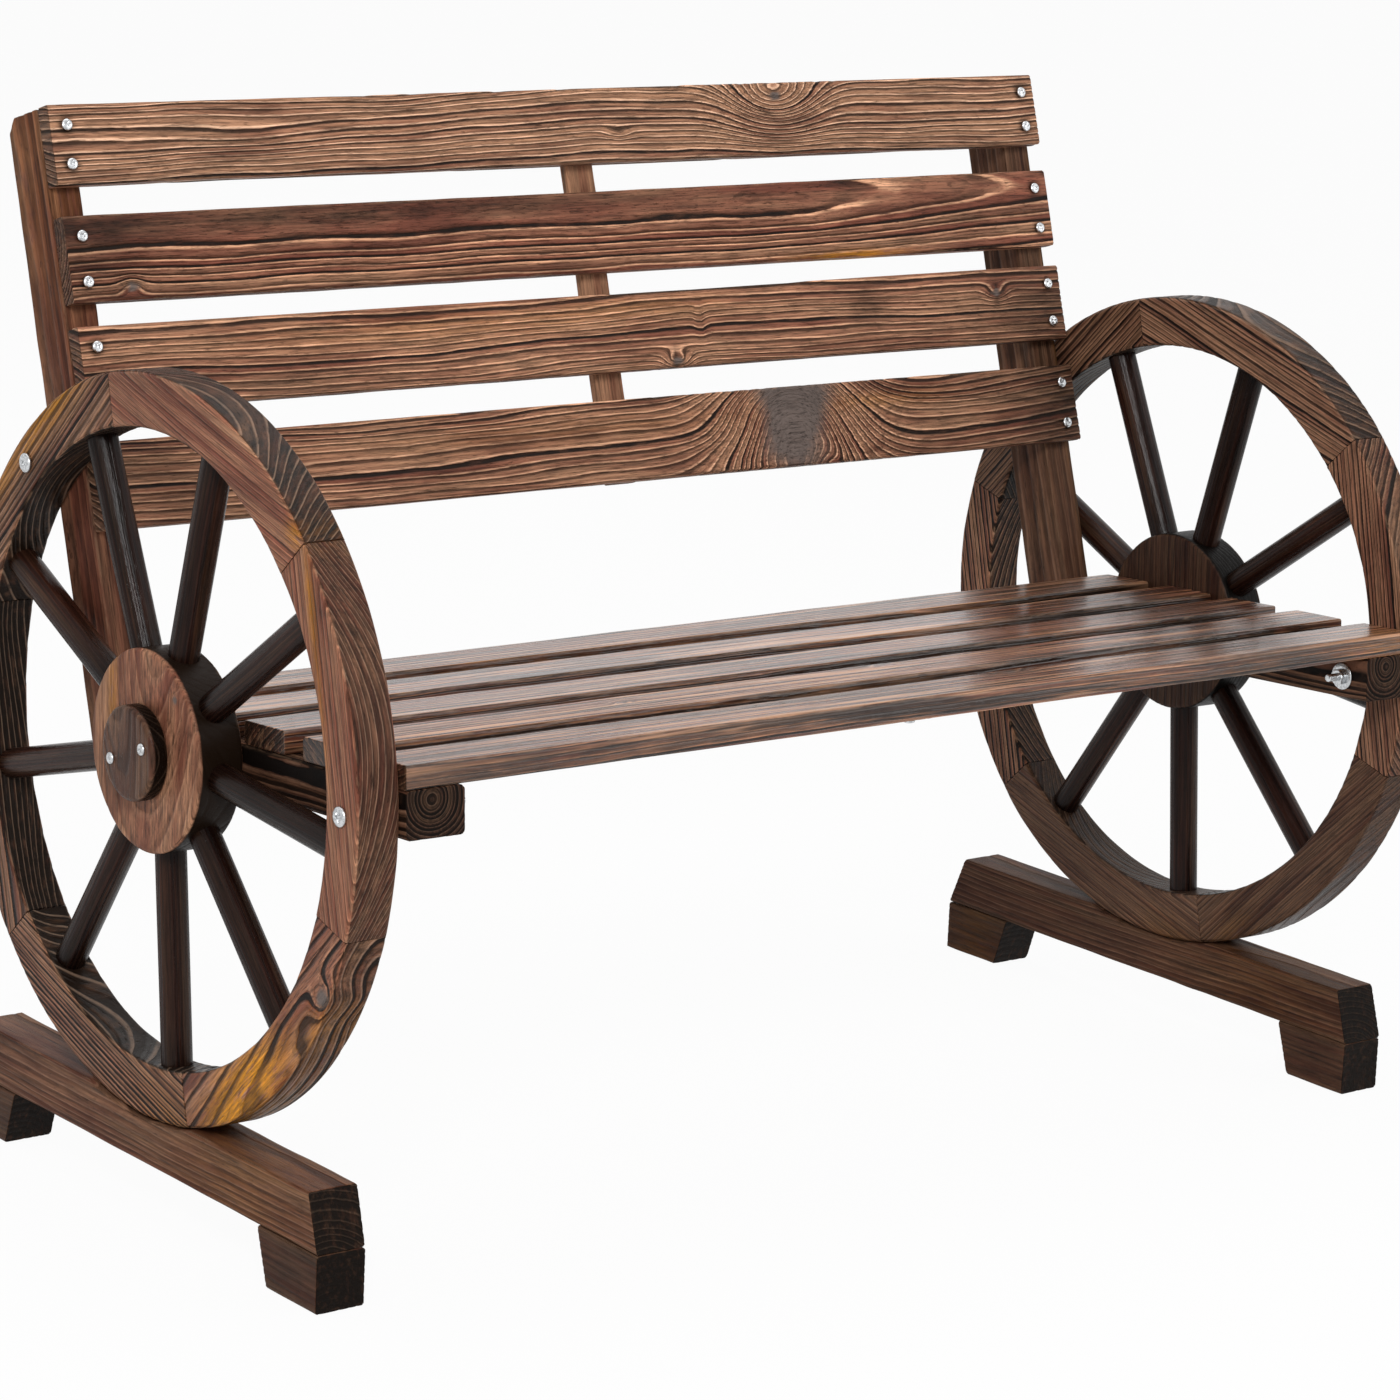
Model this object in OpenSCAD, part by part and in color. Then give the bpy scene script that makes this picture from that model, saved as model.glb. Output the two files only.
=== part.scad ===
// Garden bench carried by two wagon wheels: a slatted seat and a leaning
// slatted back hang between the wheels, and each wheel stands in a long foot.
// X runs along the bench, -Y is the front, Z is up. The origin is on the
// ground under the middle of the bench. Lengths are in millimetres.

/* [Wheels] */
// Outer diameter of each wheel
wheel_d = 560; // [500:5:620]
// Width of the rim, measured along a radius
rim_w = 42; // [38:1:50]
// Thickness of the rim, measured along the bench
rim_t = 36; // [30:1:42]
// Rounding of the rim's long edges
rim_round = 3.5; // [1:0.5:6]
// Diameter of the round hub
hub_d = 153; // [140:1:180]
// Thickness of the hub
hub_t = 38.5; // [36:0.5:50]
// Chamfer round the hub's outer face
hub_chamfer = 3; // [1:0.5:6]
// Diameter of the cap on the hub
cap_d = 72; // [60:1:90]
// Thickness of the hub cap
cap_t = 15; // [11:1:26]
// Distance of each cap screw from the middle of the cap
cap_screw_r = 23; // [16:1:24]
// Diameter of each spoke
spoke_d = 24; // [18:1:26]
// Depth of a spoke's end in the hub
spoke_in_hub = 18; // [10:1:22]
// Depth of a spoke's end in the rim
spoke_in_rim = 13; // [8:1:14]
// Diameter of the dowels between the rim segments
rim_dowel_d = 8; // [6:1:9]
// Length of the dowels between the rim segments
rim_dowel_len = 40; // [24:1:44]

/* [Feet] */
// Width of a foot beam, measured along the bench
foot_w = 42; // [38:1:60]
// Height of a foot beam
beam_h = 44.5; // [40:0.5:60]
// Height of a foot block
block_h = 44; // [36:1:60]
// Reach of a foot beam in front of the wheel's axis
foot_front = 247.5; // [220:0.5:290]
// Reach of a foot beam behind the wheel's axis
foot_back = 264.5; // [220:0.5:300]
// Slope of the beam's front end, measured along the top
front_bevel = 13.5; // [4:0.5:30]
// Slope of the beam's back end, measured along the top
back_bevel = 18.5; // [4:0.5:30]
// Length of a foot block under the beam
block_len = 80; // [70:1:110]
// Slope of the block's inner end, measured along the ground
block_bevel = 14.5; // [4:0.5:24]
// Depth of the wheel's seat in the foot beam
notch_depth = 9.5; // [6:0.5:14]
// Distance of each wheel screw from the wheel's axis, along the beam
wheel_screw_y = 28; // [24:1:34]

/* [Seat] */
// Clear width between the two wheels
span = 988; // [800:4:1200]
// Height of the seat's front edge
seat_h = 406; // [396:1:420]
// Backward slope of the seat in degrees
seat_tilt = 3.1; // [1:0.1:5]
// How far the seat's front edge stands in front of the wheels
seat_lead = 4; // [0:0.5:10]
// Width of a seat slat
seat_slat_w = 54.2; // [48:0.2:60]
// Thickness of a seat slat
seat_slat_t = 18; // [14:0.5:20]
// Gap between two seat slats
seat_gap = 24; // [16:0.5:26]
// Width of a seat rail, measured along the bench
rail_w = 50; // [40:1:60]
// Height of a seat rail
rail_h = 36; // [34:1:48]
// Distance of a slat's screws from its front edge
seat_screw_set = 40; // [38:1:44]
// Width of the batten under the middle of the seat
seat_batten_w = 40; // [28:1:60]
// Thickness of the batten under the middle of the seat
seat_batten_t = 10; // [8:0.5:14]
// Distance from the seat's front edge to that batten
seat_batten_set = 42; // [36:1:44]

/* [Back] */
// Backward lean of the back in degrees
back_lean = 17.1; // [12:0.1:20]
// Level gap between the seat's back edge and the face of the back slats
back_gap = 8.5; // [4:0.5:14]
// Height from the seat's back edge to the lowest back slat, along the lean
back_rise = 117.5; // [100:0.5:130]
// Width of the lowest back slat
back_slat_4_w = 67.5; // [56:0.5:72]
// Width of the second back slat from below
back_slat_3_w = 65; // [56:0.5:72]
// Width of the third back slat from below
back_slat_2_w = 67; // [56:0.5:72]
// Width of the top back slat
back_slat_1_w = 62; // [56:0.5:72]
// Gap above the lowest back slat
back_gap_3 = 22.5; // [14:0.5:34]
// Gap above the second back slat from below
back_gap_2 = 17.5; // [12:0.5:34]
// Gap below the top back slat
back_gap_1 = 23; // [14:0.5:34]
// Thickness of a back slat
back_slat_t = 16; // [14:0.5:20]
// Width of a back post, measured along the bench
post_w = 30; // [26:1:38]
// Depth of a back post, measured square to its lean
post_d = 48.5; // [44:0.5:60]
// Chamfer on the back of a post's top end
post_chamfer = 12; // [4:0.5:20]
// Distance of a back slat's screws from its long edges
back_screw_set = 16; // [12:0.5:20]
// Width of the batten behind the middle of the back
back_batten_w = 28; // [20:1:44]
// Thickness of the batten behind the middle of the back
back_batten_t = 10; // [8:0.5:14]
// Distance of that batten from the middle of the bench, to the right
back_batten_x = 4; // [0:1:20]

/* [Fasteners] */
// Diameter of the bolts that hold the wheels
bolt_d = 6.4; // [5:0.2:8]
// Diameter of a bolt's round head
bolt_head_d = 15; // [12:0.5:18]
// Height of a bolt's round head
bolt_head_h = 3.6; // [2.5:0.1:5]
// Length of thread that stands out of the nut
bolt_tail = 10; // [4:0.5:16]
// Width of a nut across its flats
nut_af = 12; // [10:0.5:14]
// Thickness of a nut
nut_t = 5.6; // [4:0.2:7]
// Diameter of a washer
washer_d = 22; // [16:0.5:24]
// Thickness of a washer
washer_t = 1.6; // [1.2:0.1:2.4]
// Diameter of the wood screws
screw_d = 4; // [3:0.2:5]
// Diameter of a wood screw's head
screw_head_d = 9; // [7:0.2:10]
// Height of a wood screw's head
screw_head_h = 2.4; // [1.6:0.1:3]
// Diameter of the long screws through the posts
post_screw_d = 6; // [4:0.2:7]
// Diameter of a long screw's head
post_screw_head_d = 12; // [9:0.5:14]

/* [Hidden] */
$fn = 48;
// Rounds on small edges and small screws
edge_fn = 16;
screw_fn = 24;

// Pattern of the wheel. Angles start at the front and turn upwards.
spoke_count = 9;
first_spoke = -85;
felloe_count = 6;
first_joint = 43.5;
cap_screw_angle = 20;

// Clearances and small edges
socket_clear = 0.2;
screw_clear = 0.15;
notch_clear = 0.3;
slat_end_gap = 0.5;
board_round = 2;
rail_round = 4;
cap_round = 2.5;
// Wood left beyond a hidden screw's point
screw_cover = 4;
head_sink = 12;
// Depth of each kind of screw in the last piece that it holds
back_screw_in = 26;
cap_screw_in = 20;
post_screw_in = 34;
block_screw_in = 30;
wheel_screw_in = 18;
// Longer than anything that it cuts
reach = 3000;

// Places that follow from the sizes
wheel_r = wheel_d / 2;
rim_in = wheel_r - rim_w;
rim_mid = wheel_r - rim_w / 2;
foot_top = block_h + beam_h;
wheel_z = foot_top - notch_depth + wheel_r;
// The wheels stand a little back, so that the bench is centred from its rails' front ends
wheel_y = (seat_lead + (seat_slat_t + rail_h) * sin(seat_tilt)) / 2;
wheel_mid_x = -(span + rim_t) / 2;
felloe_angle = 360 / felloe_count;
spoke_floor = hub_d / 2 - spoke_in_hub;
spoke_end = rim_in + spoke_in_rim;

seat_count = 5;
seat_y = wheel_y - wheel_r - seat_lead;
seat_pitch = seat_slat_w + seat_gap;
seat_depth = seat_pitch * (seat_count - 1) + seat_slat_w;
rail_mid = seat_slat_t + rail_h / 2;
rail_x = -(span - rail_w) / 2;
slat_len = span - 2 * slat_end_gap;

back_y = seat_y + seat_depth * cos(seat_tilt) + back_gap;
back_z = seat_h - seat_depth * sin(seat_tilt);
back_count = 4;
slat_w = [back_slat_1_w, back_slat_2_w, back_slat_3_w, back_slat_4_w];
slat_low = [
    back_rise + back_slat_4_w + back_gap_3 + back_slat_3_w + back_gap_2 + back_slat_2_w + back_gap_1,
    back_rise + back_slat_4_w + back_gap_3 + back_slat_3_w + back_gap_2,
    back_rise + back_slat_4_w + back_gap_3,
    back_rise
];
back_top = slat_low[0] + slat_w[0];
post_x = -(span - post_w) / 2;
post_mid = back_slat_t + post_d / 2;

// Where a line from point p along the unit vector d leaves the circle round c
function leave(p, d, c, r) =
    let(q = p - c, b = q * d, root = sqrt(b * b - q * q + r * r))
    p + (root - b) * d;

// Where a spoke and a segment of the rim lie round the wheel, in degrees
function spoke_angle(i) = first_spoke + i * 360 / spoke_count;
function felloe_start(k) = first_joint + (k - 1) * felloe_angle;
function in_felloe(k, angle) = ((angle - felloe_start(k)) % 360 + 360) % 360 < felloe_angle;

wheel_axis = [wheel_y, wheel_z];
// Bolts pass where the rim's middle line crosses the rail's and the post's
rail_forward = [-cos(seat_tilt), sin(seat_tilt)];
rail_point = [seat_y, seat_h] - rail_mid * [sin(seat_tilt), cos(seat_tilt)] - seat_depth / 2 * rail_forward;
rail_bolt = leave(rail_point, rail_forward, wheel_axis, rim_mid);
post_up = [sin(back_lean), cos(back_lean)];
post_point = [back_y, back_z] + post_mid * [cos(back_lean), -sin(back_lean)];
post_bolt = leave(post_point, post_up, wheel_axis, rim_mid);
bolt_at = [rail_bolt, post_bolt];
bolt_grip = [rim_t + rail_w, rim_t + post_w];

// Height of the long screws over the rail's lower corner, along the lean
post_screw_rise = [8, 21];
// Distance of the block screws from the beam's end
block_screw_y = [22, 48];
wheel_screw_at = [-wheel_screw_y, wheel_screw_y];

// Frames

// Everything sided is drawn on the left, and the right is its mirror image
module on_side(side) {
    if (side > 0) {
        mirror([1, 0, 0]) children();
    } else {
        children();
    }
}

// A wheel lies flat at the origin with its inner face down and its front at +X
module in_wheel() {
    translate([-span / 2, wheel_y, wheel_z]) rotate([90, 0, -90]) children();
}

// +Y runs back along the seat from its front top edge, and +Z stands square to it
module in_seat() {
    translate([0, seat_y, seat_h]) rotate([-seat_tilt, 0, 0]) children();
}

// +Z runs up the slats' front faces from the level of the seat, and +Y points behind
module in_back() {
    translate([0, back_y, back_z]) rotate([-back_lean, 0, 0]) children();
}

// Plain forms

module soft_rect(w, h, r) {
    square([w - 2 * r, h], center = true);
    square([w, h - 2 * r], center = true);
    for (x = [-1, 1], y = [-1, 1]) {
        translate([x * (w / 2 - r), y * (h / 2 - r)]) circle(r, $fn = edge_fn);
    }
}

// A board along X with its middle at the origin
module board_x(len, depth, height, r) {
    rotate([90, 0, 90]) linear_extrude(len, center = true) soft_rect(depth, height, r);
}

// A board from the origin along +Y
module board_y(len, width, height, r) {
    rotate([-90, 0, 0]) linear_extrude(len) soft_rect(width, height, r);
}

// A side outline, drawn as [y, z], given a thickness along X
module side_plate(points, thick) {
    rotate([90, 0, 90]) linear_extrude(thick, center = true) polygon(points);
}

// A screw that points down, with its head standing on z = 0
module screw(len, d, head_d, head_h) {
    $fn = screw_fn;
    tip = d;
    cylinder(h = head_h / 2, d = head_d);
    translate([0, 0, head_h / 2]) cylinder(h = head_h / 2, d1 = head_d, d2 = 0.7 * head_d);
    translate([0, 0, tip - len]) cylinder(h = len - tip, d = d);
    translate([0, 0, -len]) cylinder(h = tip, d1 = 0.25 * d, d2 = d);
}

module screw_hole(len, d) {
    translate([0, 0, -len - 1]) cylinder(h = len + 1.01, d = d + 2 * screw_clear, $fn = screw_fn);
}

module bolt_hole(len) {
    translate([0, 0, -len - 1]) cylinder(h = len + 2, d = bolt_d + 2 * screw_clear);
}

// A hole for a sunk head, from z = 0 downwards
module sink_hole(depth) {
    translate([0, 0, -depth]) cylinder(h = depth + 0.01, d = screw_head_d + 2, $fn = screw_fn);
}

// Places of the fasteners

module at_spoke(i) {
    translate([0, 0, rim_t / 2]) rotate([0, 0, spoke_angle(i)]) rotate([0, 90, 0]) children();
}

// Joint i lies at the start of segment i + 1
module at_rim_joint(i) {
    rotate([0, 0, first_joint + i * felloe_angle])
        translate([rim_mid, 0, rim_t / 2]) rotate([90, 0, 0]) children();
}

// Bolt i: its axis lies along Z, the rim's outer face is at z = 0, the inside is below
module at_bolt(i) {
    translate([-span / 2 - rim_t, bolt_at[i].x, bolt_at[i].y]) rotate([0, -90, 0]) children();
}

module at_cap_screws() {
    for (turn = [0, 180]) {
        rotate([0, 0, cap_screw_angle + turn]) translate([cap_screw_r, 0, hub_t + cap_t]) children();
    }
}

// Each screw's place on a back slat's front face, with the screw's head outwards
module at_back_screws(i) {
    for (s = [back_screw_set, slat_w[i] - back_screw_set]) {
        translate([post_x, 0, slat_low[i] + s]) rotate([90, 0, 0]) children();
    }
}

module at_back_batten_screws() {
    for (i = [0 : back_count - 1]) {
        translate([back_batten_x, back_slat_t + back_batten_t, slat_low[i] + slat_w[i] / 2])
            rotate([-90, 0, 0]) children();
    }
}

// Under the rail, with the screw's point upwards
module at_seat_screws() {
    for (i = [0 : seat_count - 1]) {
        translate([rail_x, i * seat_pitch + seat_screw_set, -seat_slat_t - rail_h])
            rotate([180, 0, 0]) children();
    }
}

module at_seat_batten_screws() {
    first = (seat_batten_set + seat_slat_w) / 2;
    for (i = [0 : seat_count - 1]) {
        y = i == 0 ? first : i * seat_pitch + seat_slat_w / 2;
        translate([0, y, -seat_slat_t - seat_batten_t]) rotate([180, 0, 0]) children();
    }
}

// Level of the rail's lower back corner on the post's front face, along the lean
post_seat_low = let(
    turn = back_lean - seat_tilt,
    drop = seat_slat_t + rail_h,
    forward = back_gap * cos(back_lean) + back_slat_t
) -(drop + forward * sin(turn)) / cos(turn) - back_gap * sin(back_lean);

module at_post_screws() {
    for (rise = post_screw_rise) {
        translate([post_x, back_slat_t + post_d, post_seat_low + rise]) rotate([-90, 0, 0]) children();
    }
}

// Under the blocks, with the screw's point upwards
module at_block_screws(back) {
    for (y = block_screw_y) {
        place = back ? foot_back - y : y - foot_front;
        translate([wheel_mid_x, wheel_y + place, 0]) rotate([180, 0, 0]) children();
    }
}

module at_wheel_screw(y) {
    translate([wheel_mid_x, wheel_y + y, block_h]) rotate([180, 0, 0]) children();
}

// Lengths of the screws
back_screw_len = back_slat_t + back_screw_in;
back_batten_screw_len = back_batten_t + back_slat_t - screw_cover;
seat_screw_len = rail_h - head_sink + seat_slat_t - screw_cover;
seat_batten_screw_len = seat_batten_t + seat_slat_t - screw_cover;
cap_screw_len = cap_t + cap_screw_in;
post_screw_len = post_d + post_screw_in;
block_screw_len = block_h - head_sink + block_screw_in;
wheel_screw_len = beam_h - notch_depth - head_sink + wheel_screw_in;

// Wheels

// One segment of the rim, sawn from a board, with sockets for the spokes it carries
module felloe(side, k) {
    on_side(side) difference() {
        in_wheel() difference() {
            rotate([0, 0, felloe_start(k)])
                rotate_extrude(angle = felloe_angle, $fn = 180)
                    translate([rim_mid, rim_t / 2]) soft_rect(rim_w, rim_t, rim_round);
            for (i = [0 : spoke_count - 1]) {
                if (in_felloe(k, spoke_angle(i))) {
                    at_spoke(i) translate([0, 0, rim_in / 2])
                        cylinder(h = spoke_end - rim_in / 2, d = spoke_d + 2 * socket_clear);
                }
            }
            for (i = [k - 1, k]) {
                at_rim_joint(i)
                    cylinder(h = rim_dowel_len + 1, d = rim_dowel_d + 2 * socket_clear, center = true);
            }
        }
        for (i = [0, 1]) {
            if (in_felloe(k, atan2(bolt_at[i].y - wheel_z, wheel_y - bolt_at[i].x))) {
                at_bolt(i) bolt_hole(rim_t);
            }
        }
        for (y = wheel_screw_at) {
            if (in_felloe(k, atan2(-rim_mid, -y))) {
                at_wheel_screw(y) translate([0, 0, -head_sink]) screw_hole(wheel_screw_len, screw_d);
            }
        }
    }
}

module felloe_dowels(side) {
    for (i = [0 : felloe_count - 1]) {
        on_side(side) in_wheel() at_rim_joint(i)
            cylinder(h = rim_dowel_len, d = rim_dowel_d, center = true);
    }
}

// Round spokes that stand between the hub's sockets and the rim's
module spokes(side) {
    for (i = [0 : spoke_count - 1]) {
        on_side(side) in_wheel() at_spoke(i) translate([0, 0, spoke_floor])
            cylinder(h = spoke_end - spoke_floor, d = spoke_d);
    }
}

module hub(side) {
    on_side(side) in_wheel() difference() {
        union() {
            cylinder(h = hub_t - hub_chamfer, d = hub_d);
            translate([0, 0, hub_t - hub_chamfer])
                cylinder(h = hub_chamfer, d1 = hub_d, d2 = hub_d - 2 * hub_chamfer);
        }
        for (i = [0 : spoke_count - 1]) {
            at_spoke(i) translate([0, 0, spoke_floor])
                cylinder(h = hub_d / 2, d = spoke_d + 2 * socket_clear);
        }
        at_cap_screws() screw_hole(cap_screw_len, screw_d);
    }
}

module hub_cap(side) {
    on_side(side) in_wheel() difference() {
        translate([0, 0, hub_t]) rotate_extrude() {
            square([cap_d / 2, cap_t - cap_round]);
            square([cap_d / 2 - cap_round, cap_t]);
            translate([cap_d / 2 - cap_round, cap_t - cap_round]) circle(cap_round);
        }
        at_cap_screws() screw_hole(cap_screw_len, screw_d);
    }
}

// Feet

module foot_beam(side) {
    on_side(side) difference() {
        intersection() {
            translate([wheel_mid_x, wheel_y, block_h]) side_plate([
                [-foot_front, 0],
                [front_bevel - foot_front, beam_h],
                [foot_back - back_bevel, beam_h],
                [foot_back, 0]
            ], foot_w);
            translate([wheel_mid_x, wheel_y - foot_front - 1, block_h + beam_h / 2])
                board_y(foot_front + foot_back + 2, foot_w, beam_h, board_round);
        }
        in_wheel() translate([0, 0, rim_t / 2 - foot_w])
            cylinder(h = 2 * foot_w, r = wheel_r + notch_clear, $fn = 180);
        for (back = [false, true]) {
            at_block_screws(back) translate([0, 0, -head_sink]) screw_hole(block_screw_len, screw_d);
        }
        for (y = wheel_screw_at) {
            at_wheel_screw(y) {
                sink_hole(head_sink);
                translate([0, 0, -head_sink]) screw_hole(wheel_screw_len, screw_d);
            }
        }
    }
}

module foot_block(side, back) {
    middle = back ? foot_back - block_len / 2 : block_len / 2 - foot_front;
    on_side(side) difference() {
        intersection() {
            translate([wheel_mid_x, wheel_y, 0]) side_plate(back
                ? [
                    [foot_back, 0],
                    [foot_back, block_h],
                    [foot_back - block_len, block_h],
                    [foot_back - block_len + block_bevel, 0]
                ] : [
                    [-foot_front, 0],
                    [-foot_front, block_h],
                    [block_len - foot_front, block_h],
                    [block_len - block_bevel - foot_front, 0]
                ], foot_w);
            translate([wheel_mid_x, wheel_y + middle, 0])
                linear_extrude(block_h) soft_rect(foot_w, block_len, board_round);
        }
        at_block_screws(back) {
            sink_hole(head_sink);
            translate([0, 0, -head_sink]) screw_hole(block_screw_len, screw_d);
        }
    }
}

// Seat

module seat_rail(side) {
    on_side(side) difference() {
        in_seat() difference() {
            translate([rail_x, 0, -rail_mid]) board_y(seat_depth + 100, rail_w, rail_h, rail_round);
            at_seat_screws() {
                sink_hole(head_sink);
                translate([0, 0, -head_sink]) screw_hole(seat_screw_len, screw_d);
            }
        }
        in_back() translate([-reach / 2, back_slat_t, -reach / 2]) cube(reach);
        at_bolt(0) bolt_hole(bolt_grip[0]);
        in_back() at_post_screws() screw_hole(post_screw_len, post_screw_d);
    }
}

module seat_slat(n) {
    in_seat() difference() {
        translate([0, (n - 1) * seat_pitch + seat_slat_w / 2, -seat_slat_t / 2])
            board_x(slat_len, seat_slat_w, seat_slat_t, board_round);
        for (side = [-1, 1]) {
            on_side(side) at_seat_screws() translate([0, 0, -head_sink])
                screw_hole(seat_screw_len, screw_d);
        }
        at_seat_batten_screws() screw_hole(seat_batten_screw_len, screw_d);
    }
}

module seat_batten() {
    len = seat_depth - seat_batten_set;
    in_seat() difference() {
        translate([0, seat_batten_set, -seat_slat_t - seat_batten_t / 2])
            board_y(len, seat_batten_w, seat_batten_t, board_round);
        at_seat_batten_screws() screw_hole(seat_batten_screw_len, screw_d);
    }
}

// Back

// The post leans with the back and ends level with the underside of its rail
module back_post(side) {
    low = post_seat_low - post_d;
    on_side(side) difference() {
        in_back() difference() {
            translate([post_x, post_mid, low])
                linear_extrude(back_top - low) soft_rect(post_w, post_d, board_round);
            translate([post_x, back_slat_t + post_d, back_top]) rotate([-45, 0, 0])
                cube([2 * post_w, reach, sqrt(2) * post_chamfer], center = true);
            for (i = [0 : back_count - 1]) {
                at_back_screws(i) screw_hole(back_screw_len, screw_d);
            }
            at_post_screws() screw_hole(post_screw_len, post_screw_d);
        }
        in_seat() translate([-reach / 2, -reach / 2, -seat_slat_t - rail_h - reach]) cube(reach);
        at_bolt(1) bolt_hole(bolt_grip[1]);
    }
}

module back_slat(n) {
    i = n - 1;
    in_back() difference() {
        translate([0, back_slat_t / 2, slat_low[i] + slat_w[i] / 2])
            board_x(slat_len, back_slat_t, slat_w[i], board_round);
        for (side = [-1, 1]) {
            on_side(side) at_back_screws(i) screw_hole(back_screw_len, screw_d);
        }
        at_back_batten_screws() screw_hole(back_batten_screw_len, screw_d);
    }
}

module back_batten() {
    in_back() difference() {
        translate([back_batten_x, back_slat_t + back_batten_t / 2, back_rise])
            linear_extrude(back_top - back_rise) soft_rect(back_batten_w, back_batten_t, board_round);
        at_back_batten_screws() screw_hole(back_batten_screw_len, screw_d);
    }
}

// Fasteners

module wheel_bolts() {
    for (side = [-1, 1], i = [0, 1]) {
        on_side(side) at_bolt(i) {
            cylinder(h = bolt_head_h / 2, d = bolt_head_d);
            translate([0, 0, bolt_head_h / 2])
                cylinder(h = bolt_head_h / 2, d1 = bolt_head_d, d2 = 0.6 * bolt_head_d);
            len = bolt_grip[i] + washer_t + nut_t + bolt_tail;
            translate([0, 0, -len]) cylinder(h = len, d = bolt_d);
        }
    }
}

module bolt_washers() {
    for (side = [-1, 1], i = [0, 1]) {
        on_side(side) at_bolt(i) translate([0, 0, -bolt_grip[i] - washer_t]) difference() {
            cylinder(h = washer_t, d = washer_d);
            translate([0, 0, -1]) cylinder(h = washer_t + 2, d = bolt_d + 2 * screw_clear);
        }
    }
}

module bolt_nuts() {
    for (side = [-1, 1], i = [0, 1]) {
        on_side(side) at_bolt(i) translate([0, 0, -bolt_grip[i] - washer_t - nut_t]) difference() {
            rotate([0, 0, 30]) cylinder(h = nut_t, d = nut_af / cos(30), $fn = 6);
            translate([0, 0, -1]) cylinder(h = nut_t + 2, d = bolt_d + 2 * screw_clear);
        }
    }
}

module hub_cap_screws() {
    for (side = [-1, 1]) {
        on_side(side) in_wheel() at_cap_screws() screw(cap_screw_len, screw_d, screw_head_d, screw_head_h);
    }
}

module back_slat_screws() {
    for (side = [-1, 1], i = [0 : back_count - 1]) {
        on_side(side) in_back() at_back_screws(i)
            screw(back_screw_len, screw_d, screw_head_d, screw_head_h);
    }
}

module back_batten_screws() {
    in_back() at_back_batten_screws() screw(back_batten_screw_len, screw_d, screw_head_d, screw_head_h);
}

module seat_slat_screws() {
    for (side = [-1, 1]) {
        on_side(side) in_seat() at_seat_screws() translate([0, 0, -head_sink])
            screw(seat_screw_len, screw_d, screw_head_d, screw_head_h);
    }
}

module seat_batten_screws() {
    in_seat() at_seat_batten_screws() screw(seat_batten_screw_len, screw_d, screw_head_d, screw_head_h);
}

module post_screws() {
    for (side = [-1, 1]) {
        on_side(side) in_back() at_post_screws()
            screw(post_screw_len, post_screw_d, post_screw_head_d, screw_head_h);
    }
}

module foot_block_screws() {
    for (side = [-1, 1], back = [false, true]) {
        on_side(side) at_block_screws(back) translate([0, 0, -head_sink])
            screw(block_screw_len, screw_d, screw_head_d, screw_head_h);
    }
}

module wheel_foot_screws() {
    for (side = [-1, 1], y = wheel_screw_at) {
        on_side(side) at_wheel_screw(y) translate([0, 0, -head_sink])
            screw(wheel_screw_len, screw_d, screw_head_d, screw_head_h);
    }
}

// Colours of the stained and torched wood and of the zinc plated steel
rim_brown = [0.42, 0.26, 0.19];
spoke_brown = [0.13, 0.09, 0.07];
hub_brown = [0.49, 0.30, 0.23];
foot_brown = [0.30, 0.20, 0.14];
frame_brown = [0.34, 0.22, 0.15];
seat_brown = [0.40, 0.24, 0.18];
back_brown = [0.45, 0.29, 0.20];
zinc = [0.80, 0.81, 0.82];

for (k = [1 : felloe_count]) {
    color(rim_brown) felloe(-1, k);
    color(rim_brown) felloe(1, k);
}
color(frame_brown) felloe_dowels(-1);  // left_felloe_dowels
color(frame_brown) felloe_dowels(1);  // right_felloe_dowels
color(spoke_brown) spokes(-1);  // left_spokes
color(spoke_brown) spokes(1);  // right_spokes
color(hub_brown) hub(-1);  // left_hub
color(hub_brown) hub(1);  // right_hub
color(spoke_brown) hub_cap(-1);  // left_hub_cap
color(spoke_brown) hub_cap(1);  // right_hub_cap
color(foot_brown) foot_beam(-1);  // left_foot_beam
color(foot_brown) foot_beam(1);  // right_foot_beam
color(foot_brown) foot_block(-1, false);  // left_front_foot_block
color(foot_brown) foot_block(-1, true);  // left_back_foot_block
color(foot_brown) foot_block(1, false);  // right_front_foot_block
color(foot_brown) foot_block(1, true);  // right_back_foot_block
color(frame_brown) seat_rail(-1);  // left_seat_rail
color(frame_brown) seat_rail(1);  // right_seat_rail
color(frame_brown) back_post(-1);  // left_back_post
color(frame_brown) back_post(1);  // right_back_post
for (n = [1 : seat_count]) {
    color(seat_brown) seat_slat(n);
}
color(frame_brown) seat_batten();
for (n = [1 : back_count]) {
    color(back_brown) back_slat(n);
}
color(frame_brown) back_batten();
color(zinc) wheel_bolts();
color(zinc) bolt_washers();
color(zinc) bolt_nuts();
color(zinc) hub_cap_screws();
color(zinc) back_slat_screws();
color(zinc) back_batten_screws();
color(zinc) seat_slat_screws();
color(zinc) seat_batten_screws();
color(zinc) post_screws();
color(zinc) foot_block_screws();
color(zinc) wheel_foot_screws();
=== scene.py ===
"""Looks of the wagon wheel bench: torched and stained timbers, turned spokes and zinc screws.

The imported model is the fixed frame. Each timber is a fine mesh that takes its place and sizes from
its node, with the rings of its tree worked into the surface. Timber meshes are made in millimetres
and turned into metres when the piece is made.
"""
import math
from dataclasses import dataclass

import bpy
import numpy as np
from bpy.props import FloatProperty, FloatVectorProperty, PointerProperty
from mathutils import Matrix, Vector


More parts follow.
